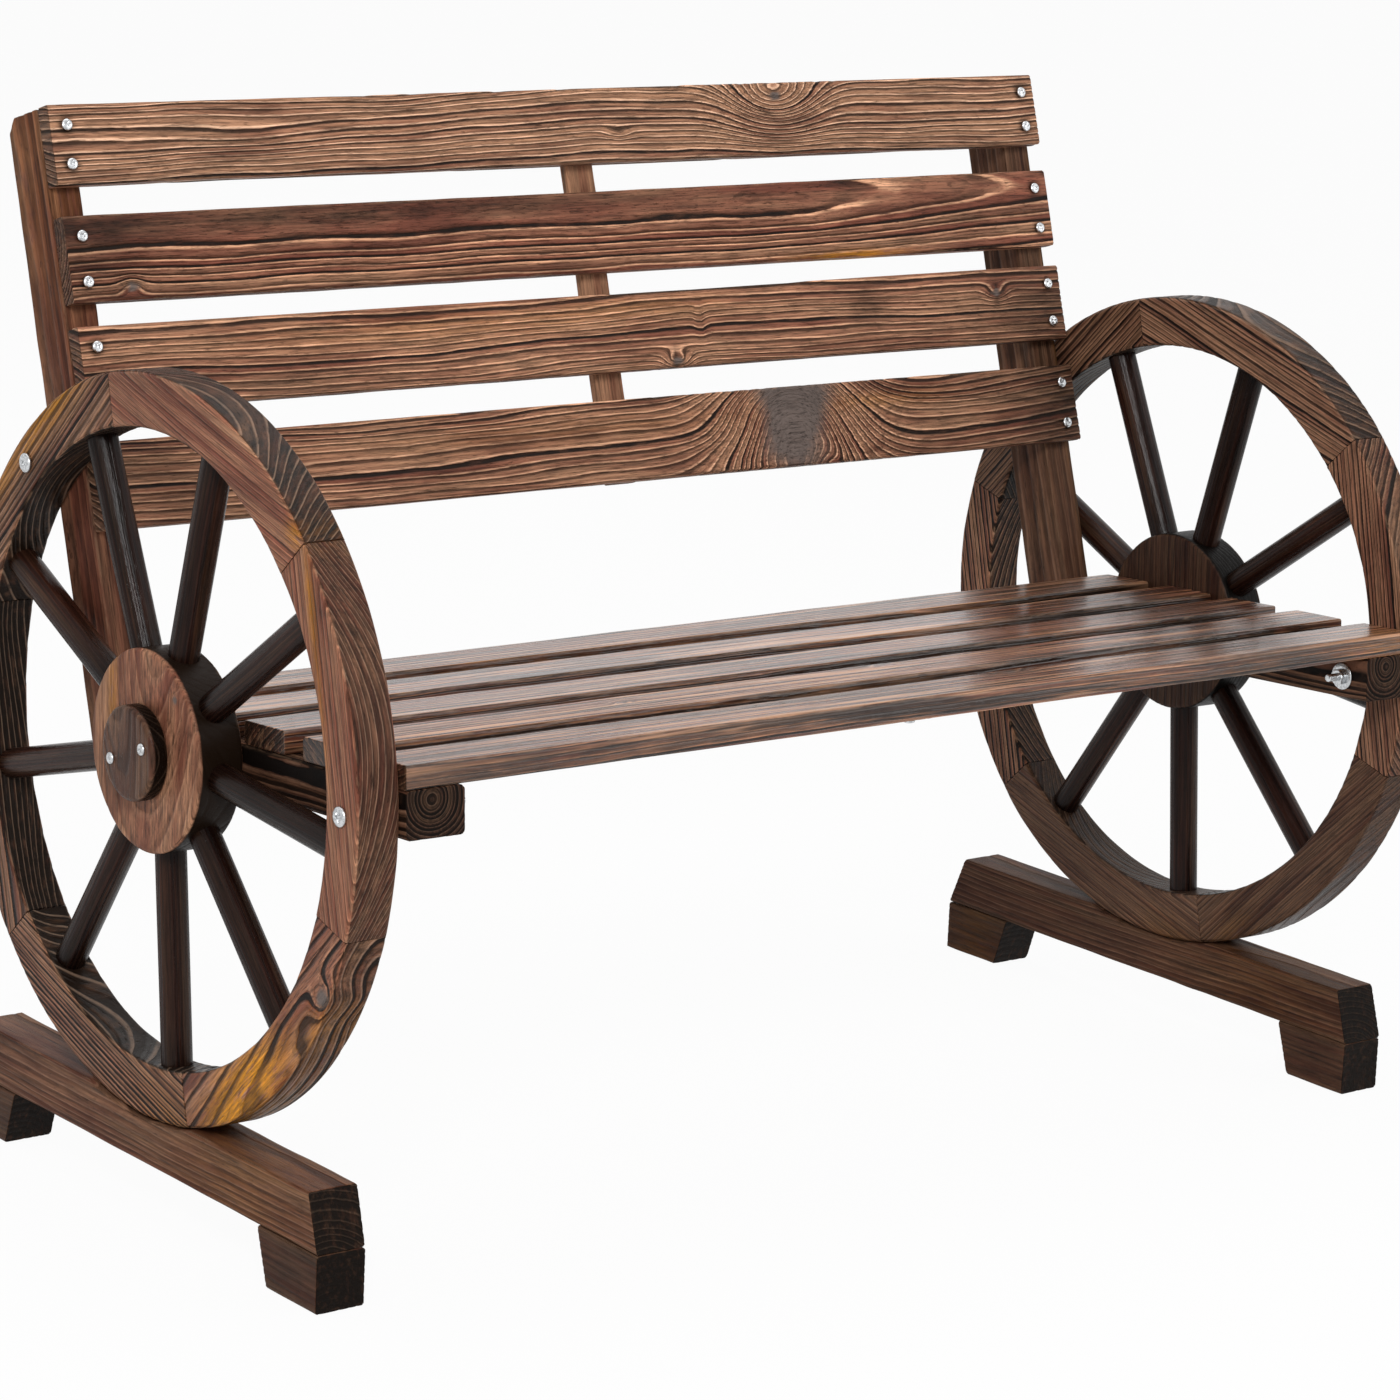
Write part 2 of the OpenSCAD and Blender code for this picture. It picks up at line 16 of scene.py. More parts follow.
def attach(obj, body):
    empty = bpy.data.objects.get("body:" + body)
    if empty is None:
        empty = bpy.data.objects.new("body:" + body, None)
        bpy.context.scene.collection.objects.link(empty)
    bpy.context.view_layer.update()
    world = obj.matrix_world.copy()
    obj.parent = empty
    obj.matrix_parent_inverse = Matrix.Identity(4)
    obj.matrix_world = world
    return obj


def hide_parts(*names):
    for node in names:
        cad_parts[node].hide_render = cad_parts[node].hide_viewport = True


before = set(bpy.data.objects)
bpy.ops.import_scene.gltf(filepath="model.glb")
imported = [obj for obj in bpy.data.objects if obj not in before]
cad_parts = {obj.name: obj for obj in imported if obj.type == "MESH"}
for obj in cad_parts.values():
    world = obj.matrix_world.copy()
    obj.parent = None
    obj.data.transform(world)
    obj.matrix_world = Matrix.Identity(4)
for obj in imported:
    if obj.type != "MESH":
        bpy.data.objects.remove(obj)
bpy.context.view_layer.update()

bl_info = {
    "name": "Wagon Wheel Bench",
    "version": (1, 0, 0),
    "blender": (4, 5, 0),
    "location": "View3D > Sidebar > Bench",
    "description": "Builds the timbers, wheels and fasteners of a wagon wheel bench",
    "category": "Add Mesh",
}

METRE = 1000.0
SIDES = {"left": -1, "right": 1}

# Wear, in millimetres: how far a face wanders from its plane, how deep a long edge is rubbed and how
# far from the edge that reaches, and the dent that a screw's head presses, with how dark the painted shade
# in it is
FACE_WANDER = 0.22
EDGE_WEAR = 0.35
EDGE_REACH = 3.0
DENT_WIDTH = 7.5
DENT_DEPTH = 1.1
DENT_SHADE = 0.8

# Each wheel: its rim boards, its spokes, and the first one's angle up from the front
FELLOES = 6
SPOKES = 9
FIRST_SPOKE = math.radians(-85)

# The point that the lights look at, in metres
BENCH_MIDDLE = (0, 0, 0.35)


def stain(red, green, blue):
    """A colour as seen on a screen, from 0 to 255, as the linear value that a shader takes."""
    return tuple((c / 255 / 12.92) if c <= 10 else ((c / 255 + 0.055) / 1.055) ** 2.4
                 for c in (red, green, blue))


def length_value(name, description, default, low, high):
    return FloatProperty(name=name, description=description, unit="LENGTH", default=default, min=low,
                         max=high)


def angle_value(name, description, degrees):
    return FloatProperty(name=name, description=description, subtype="ANGLE",
                         default=math.radians(degrees))


def power_value(name, description, default):
    return FloatProperty(name=name, description=description, unit="POWER", default=default, min=0)


def tint(name, description, colour):
    return FloatVectorProperty(name=name, description=description, subtype="COLOR", size=3,
                               min=0, max=1, default=stain(*colour))


class BenchStains(bpy.types.PropertyGroup):
    """Colours of the torched wood and of the zinc."""

    early: tint("Early wood", "Soft wood between the dark lines", (172, 127, 98))
    russet: tint("Russet", "Early wood where the stain is reddest", (140, 82, 64))
    late: tint("Late wood", "Hard dark lines of the rings", (24, 14, 9))
    # The next two colours are painted highlights: the pale ridge beside each dark line, in cooler and in
    # warmer timbers
    ridge_highlight: tint("Crest", "Thin pale ridge beside each dark line", (255, 212, 180))
    tan: tint("Tan", "The pale ridges of warmer timbers", (236, 156, 104))
    flame: tint("Flame", "Early wood that the torch left golden", (214, 142, 34))
    knot: tint("Knot", "Middle of a knot", (112, 99, 93))
    # The char colour also paints shade, shadow and dark reflections
    char: tint("Char", "Wood that the torch burnt", (27, 17, 10))
    worn: tint("Worn edge", "Edges rubbed pale", (186, 146, 116))
    # Painted reflection: the pale streaks that the varnished seat's gloss shows
    seat_reflection_tint: tint("Sheen", "Long pale streaks of the varnished seat", (255, 190, 144))
    bare: tint("Bare wood", "Unstained dowels", (190, 160, 120))
    bare_line: tint("Bare wood's lines", "Darker fibres of the dowels", (150, 118, 82))
    zinc: tint("Zinc", "Screws, bolts and nuts", (214, 216, 218))
    dull_zinc: tint("Dull zinc", "Scratched clouds of the zinc", (168, 170, 172))


class BenchShapes(bpy.types.PropertyGroup):
    """Sizes that the timbers' surfaces and the fasteners take."""

    seat_slope: angle_value("Seat slope", "Backward slope of the seat", 3.1)
    back_lean: angle_value("Back lean", "Backward lean of the back", 17.1)
    brush_depth: length_value("Brush depth", "Depth of the brushed dark lines", 0.0005, 0, 0.002)
    edge_round: length_value("Edge rounding", "Radius of a timber's long edges", 0.002, 0.0005, 0.006)
    rim_round: length_value("Rim rounding", "Radius of the rim's long edges", 0.0035, 0.001, 0.006)
    thread_pitch: length_value("Thread pitch", "Pitch of the bolts' thread", 0.001, 0.0005, 0.002)


class BenchStudio(bpy.types.PropertyGroup):
    """Camera and lights."""

    eye: FloatVectorProperty(name="Eye", description="Place of the camera", subtype="XYZ",
                             unit="LENGTH", default=(-2.2802, -2.8910, 1.1862))
    aim: FloatVectorProperty(name="Aim", description="Yaw, downward pitch and roll of the camera",
                             subtype="EULER", default=tuple(map(math.radians, (38.02, 12.92, 2.52))))
    lens: FloatProperty(name="Lens", description="Focal length on a 36 mm sensor, in millimetres",
                        default=121.13, min=20, max=300)
    key_power: power_value("Key light", "Power of the soft light at the front left", 120)
    fill_power: power_value("Fill light", "Power of the light at the front right", 30)
    top_power: power_value("Top light", "Power of the light over the bench", 45)
    sky: FloatProperty(name="Sky", description="Strength of the white surroundings",
                       default=0.38, min=0, max=2)


def shapes():
    return bpy.context.scene.bench_shapes


# Grids and smooth noise

def drift(points, scale, seed):
    """Smooth noise of about -1 to 1: a few plane waves in random directions."""
    waves = 7
    random = np.random.default_rng(seed)
    directions = random.normal(size=(waves, 3))
    directions *= random.uniform(0.7, 2.2, (waves, 1)) / np.linalg.norm(directions, axis=1)[:, None]
    phases = random.uniform(0, 2 * math.pi, waves)
    return np.sin((points / np.asarray(scale, float)) @ directions.T + phases).sum(1) / math.sqrt(waves)


def ramp(x, low, high):
    """0 below low, 1 above high, and smooth between."""
    t = np.clip((x - low) / (high - low), 0, 1)
    return t * t * (3 - 2 * t)


def lines(length, cell, close=(0.35, 0.8, 1.4, 2.2), busy=()):
    """Places of grid lines from -length / 2 to length / 2: closer at both ends and near busy places."""
    half = length / 2
    least = 0.2
    ends = [half - c for c in (0, *close) if c < half * 0.8]
    places = ends + [-e for e in ends]
    inner = min(abs(e) for e in ends)
    count = max(1, round(2 * inner / cell))
    places += list(np.linspace(-inner, inner, count + 1)[1:-1])
    for middle, reach, step in busy:
        places += list(np.arange(middle - reach, middle + reach + step, step))
    places = np.unique(np.round(np.clip(places, -half, half), 4))
    keep = np.concatenate([[True], np.diff(places) > least])
    keep[-1] = True
    return places[keep]


def box_grid(us, vs, ws):
    """Points on a box's surface, on the lines us, vs and ws, and its quads with normals outwards."""
    shape = (len(us), len(vs), len(ws))
    index = np.indices(shape)
    surface = np.zeros(shape, bool)
    for axis, count in enumerate(shape):
        surface |= (index[axis] == 0) | (index[axis] == count - 1)
    ids = np.full(shape, -1)
    ids[surface] = np.arange(surface.sum())
    i, j, k = (axis[surface] for axis in index)
    quads = []
    for axis in range(3):
        for end in (0, -1):
            sheet = np.take(ids, end, axis)
            quad = np.stack([sheet[:-1, :-1], sheet[1:, :-1], sheet[1:, 1:], sheet[:-1, 1:]], -1)
            quad = quad.reshape(-1, 4)
            outwards = (end == -1) != (axis == 1)
            quads.append(quad if outwards else quad[:, ::-1])
    return np.stack([us[i], vs[j], ws[k]], 1), np.concatenate(quads)


def soften(points, half, radius):
    """Rounds the edges and corners of a box round the origin: its squares become quarter discs."""
    inner = np.clip(points, -half + radius, half - radius)
    out = points - inner
    size = np.linalg.norm(out, axis=1)
    most = np.abs(out).max(1)
    share = np.divide(most, size, out=np.ones_like(size), where=size > 1e-9)
    return inner + out * share[:, None]


def squared(size, cell, long_round, end_round, busy=()):
    """A timber round the origin with rounded edges: its points, its quads and how near its edges are.

    Its length is the first axis. cell holds how far apart its grid lines are, along and across.
    """
    half = size / 2
    grid, quads = box_grid(lines(size[0], cell[0], busy=busy), lines(size[1], cell[1]),
                           lines(size[2], cell[1]))
    points = soften(grid, half, end_round)
    points[:, 1:] = soften(points[:, 1:], half[1:], long_round)
    inside = half[1:] - np.abs(grid[:, 1:])
    return points, quads, 1 - ramp(inside.max(1), 0, EDGE_REACH)


def round_grid(places, around):
    """A grid of radius 1 round the first axis: its points, radii and angles, and its quads."""
    cross = np.linspace(-1, 1, around + 1)
    disc, quads = box_grid(places, cross, cross)
    most = np.abs(disc[:, 1:]).max(1)
    size = np.linalg.norm(disc[:, 1:], axis=1)
    share = np.divide(most, size, out=np.zeros_like(size), where=size > 1e-9)
    disc[:, 1:] *= share[:, None]
    return disc, np.hypot(disc[:, 1], disc[:, 2]), np.arctan2(disc[:, 2], disc[:, 1]), quads


def about_axis(along, radius, angle):
    """Points round the first axis, from their places along it, radii and angles."""
    return np.column_stack([along, radius * np.cos(angle), radius * np.sin(angle)])


def normals_of(points, quads):
    """Unit normals at the points."""
    a, b, c, d = (points[quads[:, i]] for i in range(4))
    across = np.cross(c - a, d - b)
    total = np.zeros_like(points)
    for corner in range(4):
        for axis in range(3):
            total[:, axis] += np.bincount(quads[:, corner], across[:, axis], len(points))
    return total / np.maximum(np.linalg.norm(total, axis=1), 1e-12)[:, None]


# The rings of the tree in one timber

@dataclass
class Spot:
    """A mark: its place along and across a timber's face, its reach both ways and its strength.

    A knot's strength is how far it pushes the rings away, and core is its heart's share of its reach.
    """

    along: float
    across: float
    length: float
    width: float
    strength: float = 1.0
    core: float = 0.5

    def distance(self, p):
        return np.hypot((p[:, 0] - self.along) / self.length, (p[:, 1] - self.across) / self.width)

    def share(self, p):
        return self.strength * np.exp(-self.distance(p) ** 2)


@dataclass
class Grain:
    """The tree in one timber, in millimetres along it, across its face and out of its face.

    pith is the tree's middle, across and out. It moves by slope for each millimetre along, from turn
    on, and wanders by sway. The rings are spacing apart, uneven by ripple, and dark is the share of a
    ring that is dark. tone and warm are how light and how red the timber is, bold is how strong its
    lines are, and end_char how burnt its ends are. calm names the places where lines are weak.
    """

    seed: int
    spacing: float = 3.6
    pith: tuple = (-90.0, -60.0)
    slope: tuple = (0.0, 0.0)
    turn: float = -2000.0
    sway: float = 4.0
    ripple: float = 0.5
    dark: float = 0.34
    tone: float = 1.0
    warm: float = 0.4
    bold: float = 1.0
    end_char: float = 0.6
    calm: tuple = ()
    knots: tuple = ()
    flames: tuple = ()
    burns_and_shade: tuple = ()

    def rings(self, p):
        """Number of the ring at each point, whole at a ring's edge."""
        along = np.column_stack([p[:, 0], np.zeros((len(p), 2))])
        far = np.maximum(p[:, 0], self.turn)
        across = self.pith[0] + self.slope[0] * far + self.sway * drift(along, 150, self.seed)
        out = self.pith[1] + self.slope[1] * far + self.sway * drift(along, 190, self.seed + 1)
        radius = np.hypot(p[:, 1] - across, p[:, 2] - out)
        radius += self.ripple * drift(p, (42, 10, 10), self.seed + 2)
        for knot in self.knots:
            radius += knot.share(p)
        count = radius / self.spacing
        return count + 0.26 * np.sin(0.93 * count + self.seed) + 0.34 * np.sin(0.37 * count + 2 * self.seed)

    def groove(self, rings):
        """How deep the brush went, from 0 to 1: deepest in the dark lines."""
        phase = rings % 1
        return ramp(phase, 0.9 - self.dark, 1.02 - 0.4 * self.dark) * (1 - ramp(phase, 0.93, 1))

    def marks(self, p, edge):
        """Shares of knot, flame, worn edge, and burn together with painted shade."""
        knot = np.zeros(len(p))
        ragged = 0.14 * drift(p, (18, 12, 12), self.seed + 9)
        for spot in self.knots:
            away = spot.distance(p) + ragged * spot.core
            knot = np.maximum(knot, 1 - ramp(away, 0.5 * spot.core, spot.core + 0.001))
        flame = sum((spot.share(p) for spot in self.flames), np.zeros(len(p)))
        burn_and_shade = sum((spot.share(p) for spot in self.burns_and_shade), np.zeros(len(p)))
        return np.clip(np.column_stack([knot, flame, edge, burn_and_shade]), 0, 1)


# Pieces

def put_mesh(node, ending, points, quads, slot):
    """A piece of the bench from points in millimetres. It stands for a node and rides on the root."""
    name = f"{node}_{ending}"
    mesh = bpy.data.meshes.new(name)
    mesh.vertices.add(len(points))
    mesh.vertices.foreach_set("co", (points / METRE).astype(np.float32).ravel())
    mesh.loops.add(quads.size)
    mesh.loops.foreach_set("vertex_index", quads.astype(np.int32).ravel())
    mesh.polygons.add(len(quads))
    mesh.polygons.foreach_set("loop_start", np.arange(0, quads.size, 4, dtype=np.int32))
    mesh.update(calc_edges=True)
    mesh.shade_smooth()
    if mesh.validate():
        raise RuntimeError(f"{name} has faces that don't close")
    piece = bpy.data.objects.new(name, mesh)
    bpy.context.scene.collection.objects.link(piece)
    mesh.materials.append(finish_of(slot))
    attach(piece, "root")
    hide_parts(node)
    return mesh


def put_values(mesh, name, values):
    """Values at the mesh's points: places where they are three wide, and colours where four."""
    kind, field = ("FLOAT_VECTOR", "vector") if values.shape[1] == 3 else ("FLOAT_COLOR", "color")
    attribute = mesh.attributes.get(name) or mesh.attributes.new(name, kind, "POINT")
    attribute.data.foreach_set(field, values.astype(np.float32).ravel())


def put_grain(mesh, own, rings, shift=0.0):
    """Places for the shader's noise, with the number of the ring between them. Each tree has its shift."""
    put_values(mesh, "grain", np.column_stack([own[:, 0] / 100 + shift, rings, own[:, 1] / 10]))


def timber(node, points, quads, own, grain, edge, slot, brush=1.0, heads=(), burn=0.0):
    """A wooden piece with its rings brushed in and its screws' heads pressed in.

    points are in the bench's frame, and own and heads in the timber's. edge is 1 on its long edges,
    and burn is how much the torch burnt each point.
    """
    if np.einsum("ij,ij->", points - points.mean(0), normals_of(points, quads)) < 0:
        quads = quads[:, ::-1]
    rings = grain.rings(own)
    # The brush goes deeper where rings are wide, and leaves calm spots alone
    coarse = ramp(grain.spacing, 2.2, 5.0)
    lined = np.ones(len(own))
    for spot in grain.calm:
        lined *= 1 - spot.share(own)
    depth = brush * shapes().brush_depth * METRE * coarse * grain.groove(rings) * lined
    depth += FACE_WANDER * (1 + drift(own, (110, 26, 26), grain.seed + 5))
    depth += EDGE_WEAR * edge * (1 + drift(own, (14, 9, 9), grain.seed + 6))
    # Round each screw's head the dent also gets painted shade
    pressed = np.zeros(len(own))
    for head in heads:
        near = np.exp(-(np.linalg.norm(own - head, axis=1) / DENT_WIDTH) ** 4)
        depth += DENT_DEPTH * near
        pressed = np.maximum(pressed, DENT_SHADE * near)
    points = points - normals_of(points, quads) * np.maximum(depth, 0)[:, None]
    mesh = put_mesh(node, "timber", points, quads, slot)
    put_grain(mesh, own, rings, grain.seed * 3.7)
    marks = grain.marks(own, edge)
    end_face = ramp(np.abs(normals_of(own, quads)[:, 0]), 0.55, 0.85)
    marks[:, 3] = np.maximum.reduce([marks[:, 3], burn + pressed, grain.end_char * end_face])
    put_values(mesh, "marks", marks)
    tone = np.tile([grain.tone, grain.dark, grain.warm, grain.bold], (len(points), 1))
    tone[:, 3] *= lined
    put_values(mesh, "tone", tone)
    return mesh


class Axes:
    """A timber's own axes: along, across and out of its face, and the point where they meet."""

    def __init__(self, along, across, out, middle=(0, 0, 0)):
        self.turn = np.array([along, across, out], float)
        self.middle = np.array(middle, float)

    def own(self, points):
        return (points - self.middle) @ self.turn.T

    def bench(self, own):
        return own @ self.turn + self.middle

    def centred(self, node):
        """The same axes with their middle in the node's, and the node's size along each."""
        own = self.own(corners(node))
        low, high = own.min(0), own.max(0)
        middle = self.bench(((low + high) / 2)[None])[0]
        return Axes(*self.turn, middle), high - low


def corners(node):
    """A node's points, in millimetres."""
    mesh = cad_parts[node].data
    points = np.empty(len(mesh.vertices) * 3, np.float32)
    mesh.vertices.foreach_get("co", points)
    return points.reshape(-1, 3).astype(float) * METRE


def seat_axes():
    """Along the bench, back along the seat's slope, and up out of its slats' faces."""
    c, s = math.cos(shapes().seat_slope), math.sin(shapes().seat_slope)
    return Axes((1, 0, 0), (0, c, -s), (0, s, c))


def back_axes():
    """Along the bench, up the lean, and out of the slats' front faces."""
    c, s = math.cos(shapes().back_lean), math.sin(shapes().back_lean)
    return Axes((1, 0, 0), (0, s, c), (0, -c, s))


def lean_on_seat():
    """How far the back leans away from square with the seat, as a slope."""
    return math.tan(shapes().back_lean - shapes().seat_slope)


def far_share(own, size):
    """0 at a timber's near end and 1 at its far one."""
    return np.clip(own[:, 0] / size[0] + 0.5, 0, 1)


def slide(own, along):
    """The points moved along their timber."""
    return own + np.column_stack([along, np.zeros((len(own), 2))])


def bar(node, axes, grain, slot, cell=(5.0, 1.2), shape=None, busy=(), heads=(), brush=1.0,
        rounding=None):
    """A straight timber where its node is. shape bends the squared bar before it goes in place."""
    axes, size = axes.centred(node)
    long_round = (rounding or shapes().edge_round) * METRE
    own, quads, edge = squared(size, cell, long_round, min(1.0, long_round), busy)
    if shape:
        own = shape(own, size)
    timber(node, axes.bench(own), quads, own, grain, edge, slot, brush, heads)


# Materials

class Graph:
    """The nodes of a material or a world, added one by one."""

    def __init__(self, owner):
        owner.use_nodes = True
        self.owner = owner
        self.tree = owner.node_tree
        self.tree.nodes.clear()

    def add(self, kind, values=(), output=0, **settings):
        """A node with its settings and inputs. Returns the output of that number or name."""
        node = self.tree.nodes.new(kind)
        for key, value in settings.items():
            setattr(node, key, value)
        for key, value in dict(values).items():
            if isinstance(value, bpy.types.NodeSocket):
                self.tree.links.new(value, node.inputs[key])
            else:
                node.inputs[key].default_value = value
        return node.outputs[output]

    def math(self, operation, a, b=0.0, c=0.0, clamp=False):
        return self.add("ShaderNodeMath", {0: a, 1: b, 2: c}, operation=operation, use_clamp=clamp)

    def times(self, a, b, clamp=False):
        return self.math("MULTIPLY", a, b, clamp=clamp)

    def swing(self, value, amount, middle, clamp=False):
        """A noise's rise and fall about 0.5, times amount, round middle."""
        return self.math("MULTIPLY_ADD", self.math("SUBTRACT", value, 0.5), amount, middle, clamp)

    def ease(self, value, low, high):
        return self.add("ShaderNodeMapRange", {"Value": value, "From Min": low, "From Max": high},
                        interpolation_type="SMOOTHSTEP")

    def blend(self, share, a, b, how="MIX"):
        """Colour a turning into b."""
        fill = [v if isinstance(v, bpy.types.NodeSocket) else (*v, 1) for v in (a, b)]
        return self.add("ShaderNodeMix", {0: share, 6: fill[0], 7: fill[1]}, 2, data_type="RGBA",
                        blend_type=how)

    def noise(self, vector, detail=3.0, roughness=0.55, scale=1.0):
        return self.add("ShaderNodeTexNoise", {"Vector": vector, "Scale": scale, "Detail": detail,
                                               "Roughness": roughness})

    def scaled(self, vector, factors):
        return self.add("ShaderNodeVectorMath", {0: vector, 1: factors}, operation="MULTIPLY")

    def shaded(self, colour, share):
        """A colour times one share for its red, green and blue."""
        grey = self.add("ShaderNodeCombineXYZ", {0: share, 1: share, 2: share})
        return self.blend(1.0, colour, grey, "MULTIPLY")

    def seen(self):
        """1 for rays from the camera, off gloss and through glass, and 0 for those that light."""
        path = self.add("ShaderNodeLightPath").node
        seen = self.math("MAXIMUM", path.outputs["Is Camera Ray"], path.outputs["Is Glossy Ray"])
        return self.math("MAXIMUM", seen, path.outputs["Is Transmission Ray"])

    def relief(self, height, strength, distance):
        return self.add("ShaderNodeBump", {"Height": height, "Strength": strength, "Distance": distance})

    def finish(self, shader, output="ShaderNodeOutputMaterial"):
        """Gives the owner this shader, or a principled one with these values. Returns the owner."""
        if isinstance(shader, dict):
            shader = self.add("ShaderNodeBsdfPrincipled", shader)
        end = self.tree.nodes.new(output)
        self.tree.links.new(shader, end.inputs["Surface"])
        return self.owner


def wood(name, roughness, shine, bump, coat=0.0, coat_roughness=0.2, contrast=1.0, highlight_strength=0.85,
         streak=0.45, reflection_streaks=0.0, fine=6.0, burnt_highlight=0.05):
    """Torched and stained wood. The timber's own values say where its rings and marks are.

    contrast is how dark the lines are, highlight_strength how strong the painted highlight on their crests
    is and burnt_highlight how strong the painted highlight on burnt ribs is.
    streak is how uneven the gloss is, reflection_streaks how strong the painted reflection streaks of the
    varnish are and fine the fibres' detail.
    """
    stains = bpy.context.scene.bench_stains
    g = Graph(bpy.data.materials.new(name))

    def stored(values, output):
        return g.add("ShaderNodeAttribute", output=output, attribute_name=values)

    def split(values):
        return g.add("ShaderNodeSeparateXYZ", {0: values}).node.outputs

    def along_grain(factors, detail=3.0, rough=0.55):
        """Noise in the timber's own places, stretched along its grain."""
        return g.noise(g.scaled(grain, factors), detail, rough)

    grain = stored("grain", "Vector")
    knot, flame, edge = split(stored("marks", "Color"))
    burn_and_shade = stored("marks", "Alpha")
    bright, dark_share, warm = split(stored("tone", "Color"))
    bold = stored("tone", "Alpha")

    # Rings: quickly into the dark line, sharp out of it, with a band of painted highlight behind
    ring = g.swing(along_grain((2.0, 0.5, 0.8), 3, 0.5), 0.4, split(grain)[1])
    phase = g.math("FRACT", ring)
    lot = g.add("ShaderNodeTexWhiteNoise", {"W": g.math("FLOOR", ring)}, noise_dimensions="1D")
    start = g.math("MULTIPLY_ADD", dark_share, g.math("MULTIPLY_ADD", lot, -0.9, -0.55), 0.92)
    rise = g.add("ShaderNodeMapRange", {"Value": phase, "From Min": g.math("SUBTRACT", start, 0.1),
                                        "From Max": g.math("ADD", start, 0.05)})
    line = g.times(g.times(rise, g.ease(phase, 0.97, 0.92)), g.math("MULTIPLY_ADD", lot, 0.5, 0.6), True)
    hair = g.ease(g.math("FRACT", g.times(ring, 3.0)), 0.62, 0.92)
    ridge_highlight = g.math("MAXIMUM", g.ease(phase, 0.94, 0.99), g.ease(phase, 0.2, 0.05))

    # Fibres, pores and broad clouds of stain
    fibre = along_grain((1.4, 1.8, 4.4), fine, 0.76)
    pore = g.ease(along_grain((9.0, 7.0, 18.0), 2), 0.62, 0.7)
    cloud = along_grain((0.8, 0.25, 0.6), 4)
    mottle = along_grain((4.0, 0.9, 2.4), 4, 0.6)
    line = g.times(line, g.math("MULTIPLY_ADD", g.ease(mottle, 0.25, 0.5), 0.3, 0.7))
    hair = g.times(hair, g.times(g.ease(mottle, 0.4, 0.62), 0.5))
    line = g.times(g.math("MAXIMUM", line, hair), bold)

    # Soft wood between the lines: reddish in places, with a painted highlight on the crests, golden in
    # flames
    redness = g.swing(lot, 0.7, g.swing(cloud, 2.4, warm), True)
    soft = g.blend(redness, stains.early, stains.russet)
    # pale is the share of painted highlight on the crest beside each dark line
    pale = g.times(g.times(ridge_highlight, g.ease(bold, 0.12, 0.36)), g.ease(fibre, 0.3, 0.5))
    soft = g.blend(g.times(pale, highlight_strength), soft, g.blend(warm, stains.ridge_highlight, stains.tan))
    soft = g.blend(g.times(flame, g.ease(mottle, 0.3, 0.5), True), soft, stains.flame)
    soft = g.shaded(soft, g.math("MAXIMUM", g.swing(fibre, 3.8, 0.9), 0.25))

    # Dark lines, what the torch burnt together with painted shade, shadow and dark reflections, pores, knots
    # and worn edges
    colour = g.blend(g.times(line, contrast, True), soft, stains.late)
    burnt = g.times(g.ease(g.swing(fibre, 0.6, cloud), 0.53, 0.72), 0.5)
    torched = g.times(burn_and_shade, g.swing(mottle, 0.9, 1.0))
    colour = g.blend(g.math("MAXIMUM", burnt, torched, clamp=True), colour, stains.char)
    colour = g.blend(g.times(pore, 0.5), colour, stains.char)
    # Painted highlight on the ribs of burnt wood
    colour = g.blend(g.times(pale, g.times(torched, burnt_highlight), True), colour, stains.ridge_highlight)
    heart = g.times(knot, g.math("MULTIPLY_ADD", mottle, 0.6, 0.75), True)
    colour = g.blend(heart, colour, g.blend(g.ease(fibre, 0.3, 0.52), stains.char, stains.knot))
    # Painted reflection: pale streaks for the varnish's reflection and dark streaks where it reflects less
    if reflection_streaks:
        clear = g.times(g.math("SUBTRACT", 1.0, burn_and_shade), reflection_streaks, True)
        pale_reflection = g.ease(along_grain((0.3, 0.4, 0.9), 4, 0.62), 0.5, 0.62)
        dark_reflection = g.ease(along_grain((0.4, 0.35, 1.2), 4, 0.6), 0.5, 0.62)
        colour = g.blend(g.times(pale_reflection, clear), colour, stains.seat_reflection_tint)
        colour = g.blend(g.times(dark_reflection, 0.85), colour, stains.char)
    rub = g.times(edge, g.ease(mottle, 0.46, 0.62))
    colour = g.shaded(g.blend(g.times(rub, 0.4), colour, stains.worn), bright)

    height = g.math("MULTIPLY_ADD", fibre, 0.6, g.times(line, -1.0))
    relief = g.relief(g.math("SUBTRACT", height, g.times(pore, 0.5)), bump, 0.0012)
    rough = g.math("MULTIPLY_ADD", line, 0.12, g.swing(fibre, streak, roughness), True)
    return g.finish({
        "Base Color": colour, "Roughness": rough, "Normal": relief, "Coat Normal": relief,
        "Coat Weight": coat, "Coat Roughness": coat_roughness, "Specular IOR Level": shine})


def zinc():
    """Bright zinc plate with a fine cloud of scratches."""
    stains = bpy.context.scene.bench_stains
    g = Graph(bpy.data.materials.new("zinc_plate"))
    place = g.add("ShaderNodeTexCoord", output="Object")
    cloud = g.noise(place, 4, 0.6, 420.0)
    streak = g.noise(g.scaled(place, (900.0, 2400.0, 2400.0)), 3)
    return g.finish({
        "Base Color": g.blend(g.ease(cloud, 0.35, 0.7), stains.zinc, stains.dull_zinc), "Metallic": 1.0,
        "Roughness": g.math("MULTIPLY_ADD", streak, 0.22, 0.16), "Normal": g.relief(streak, 0.15, 0.0001)})


def bare_wood():
    """Pale dowels inside the rims."""
    stains = bpy.context.scene.bench_stains
    g = Graph(bpy.data.materials.new("bare_wood"))
    place = g.add("ShaderNodeTexCoord", output="Object")
    fibre = g.noise(g.scaled(place, (300.0, 900.0, 900.0)), 4, 0.6)
    return g.finish({"Base Color": g.blend(fibre, stains.bare, stains.bare_line), "Roughness": 0.7,
                     "Normal": g.relief(fibre, 0.2, 0.0003)})


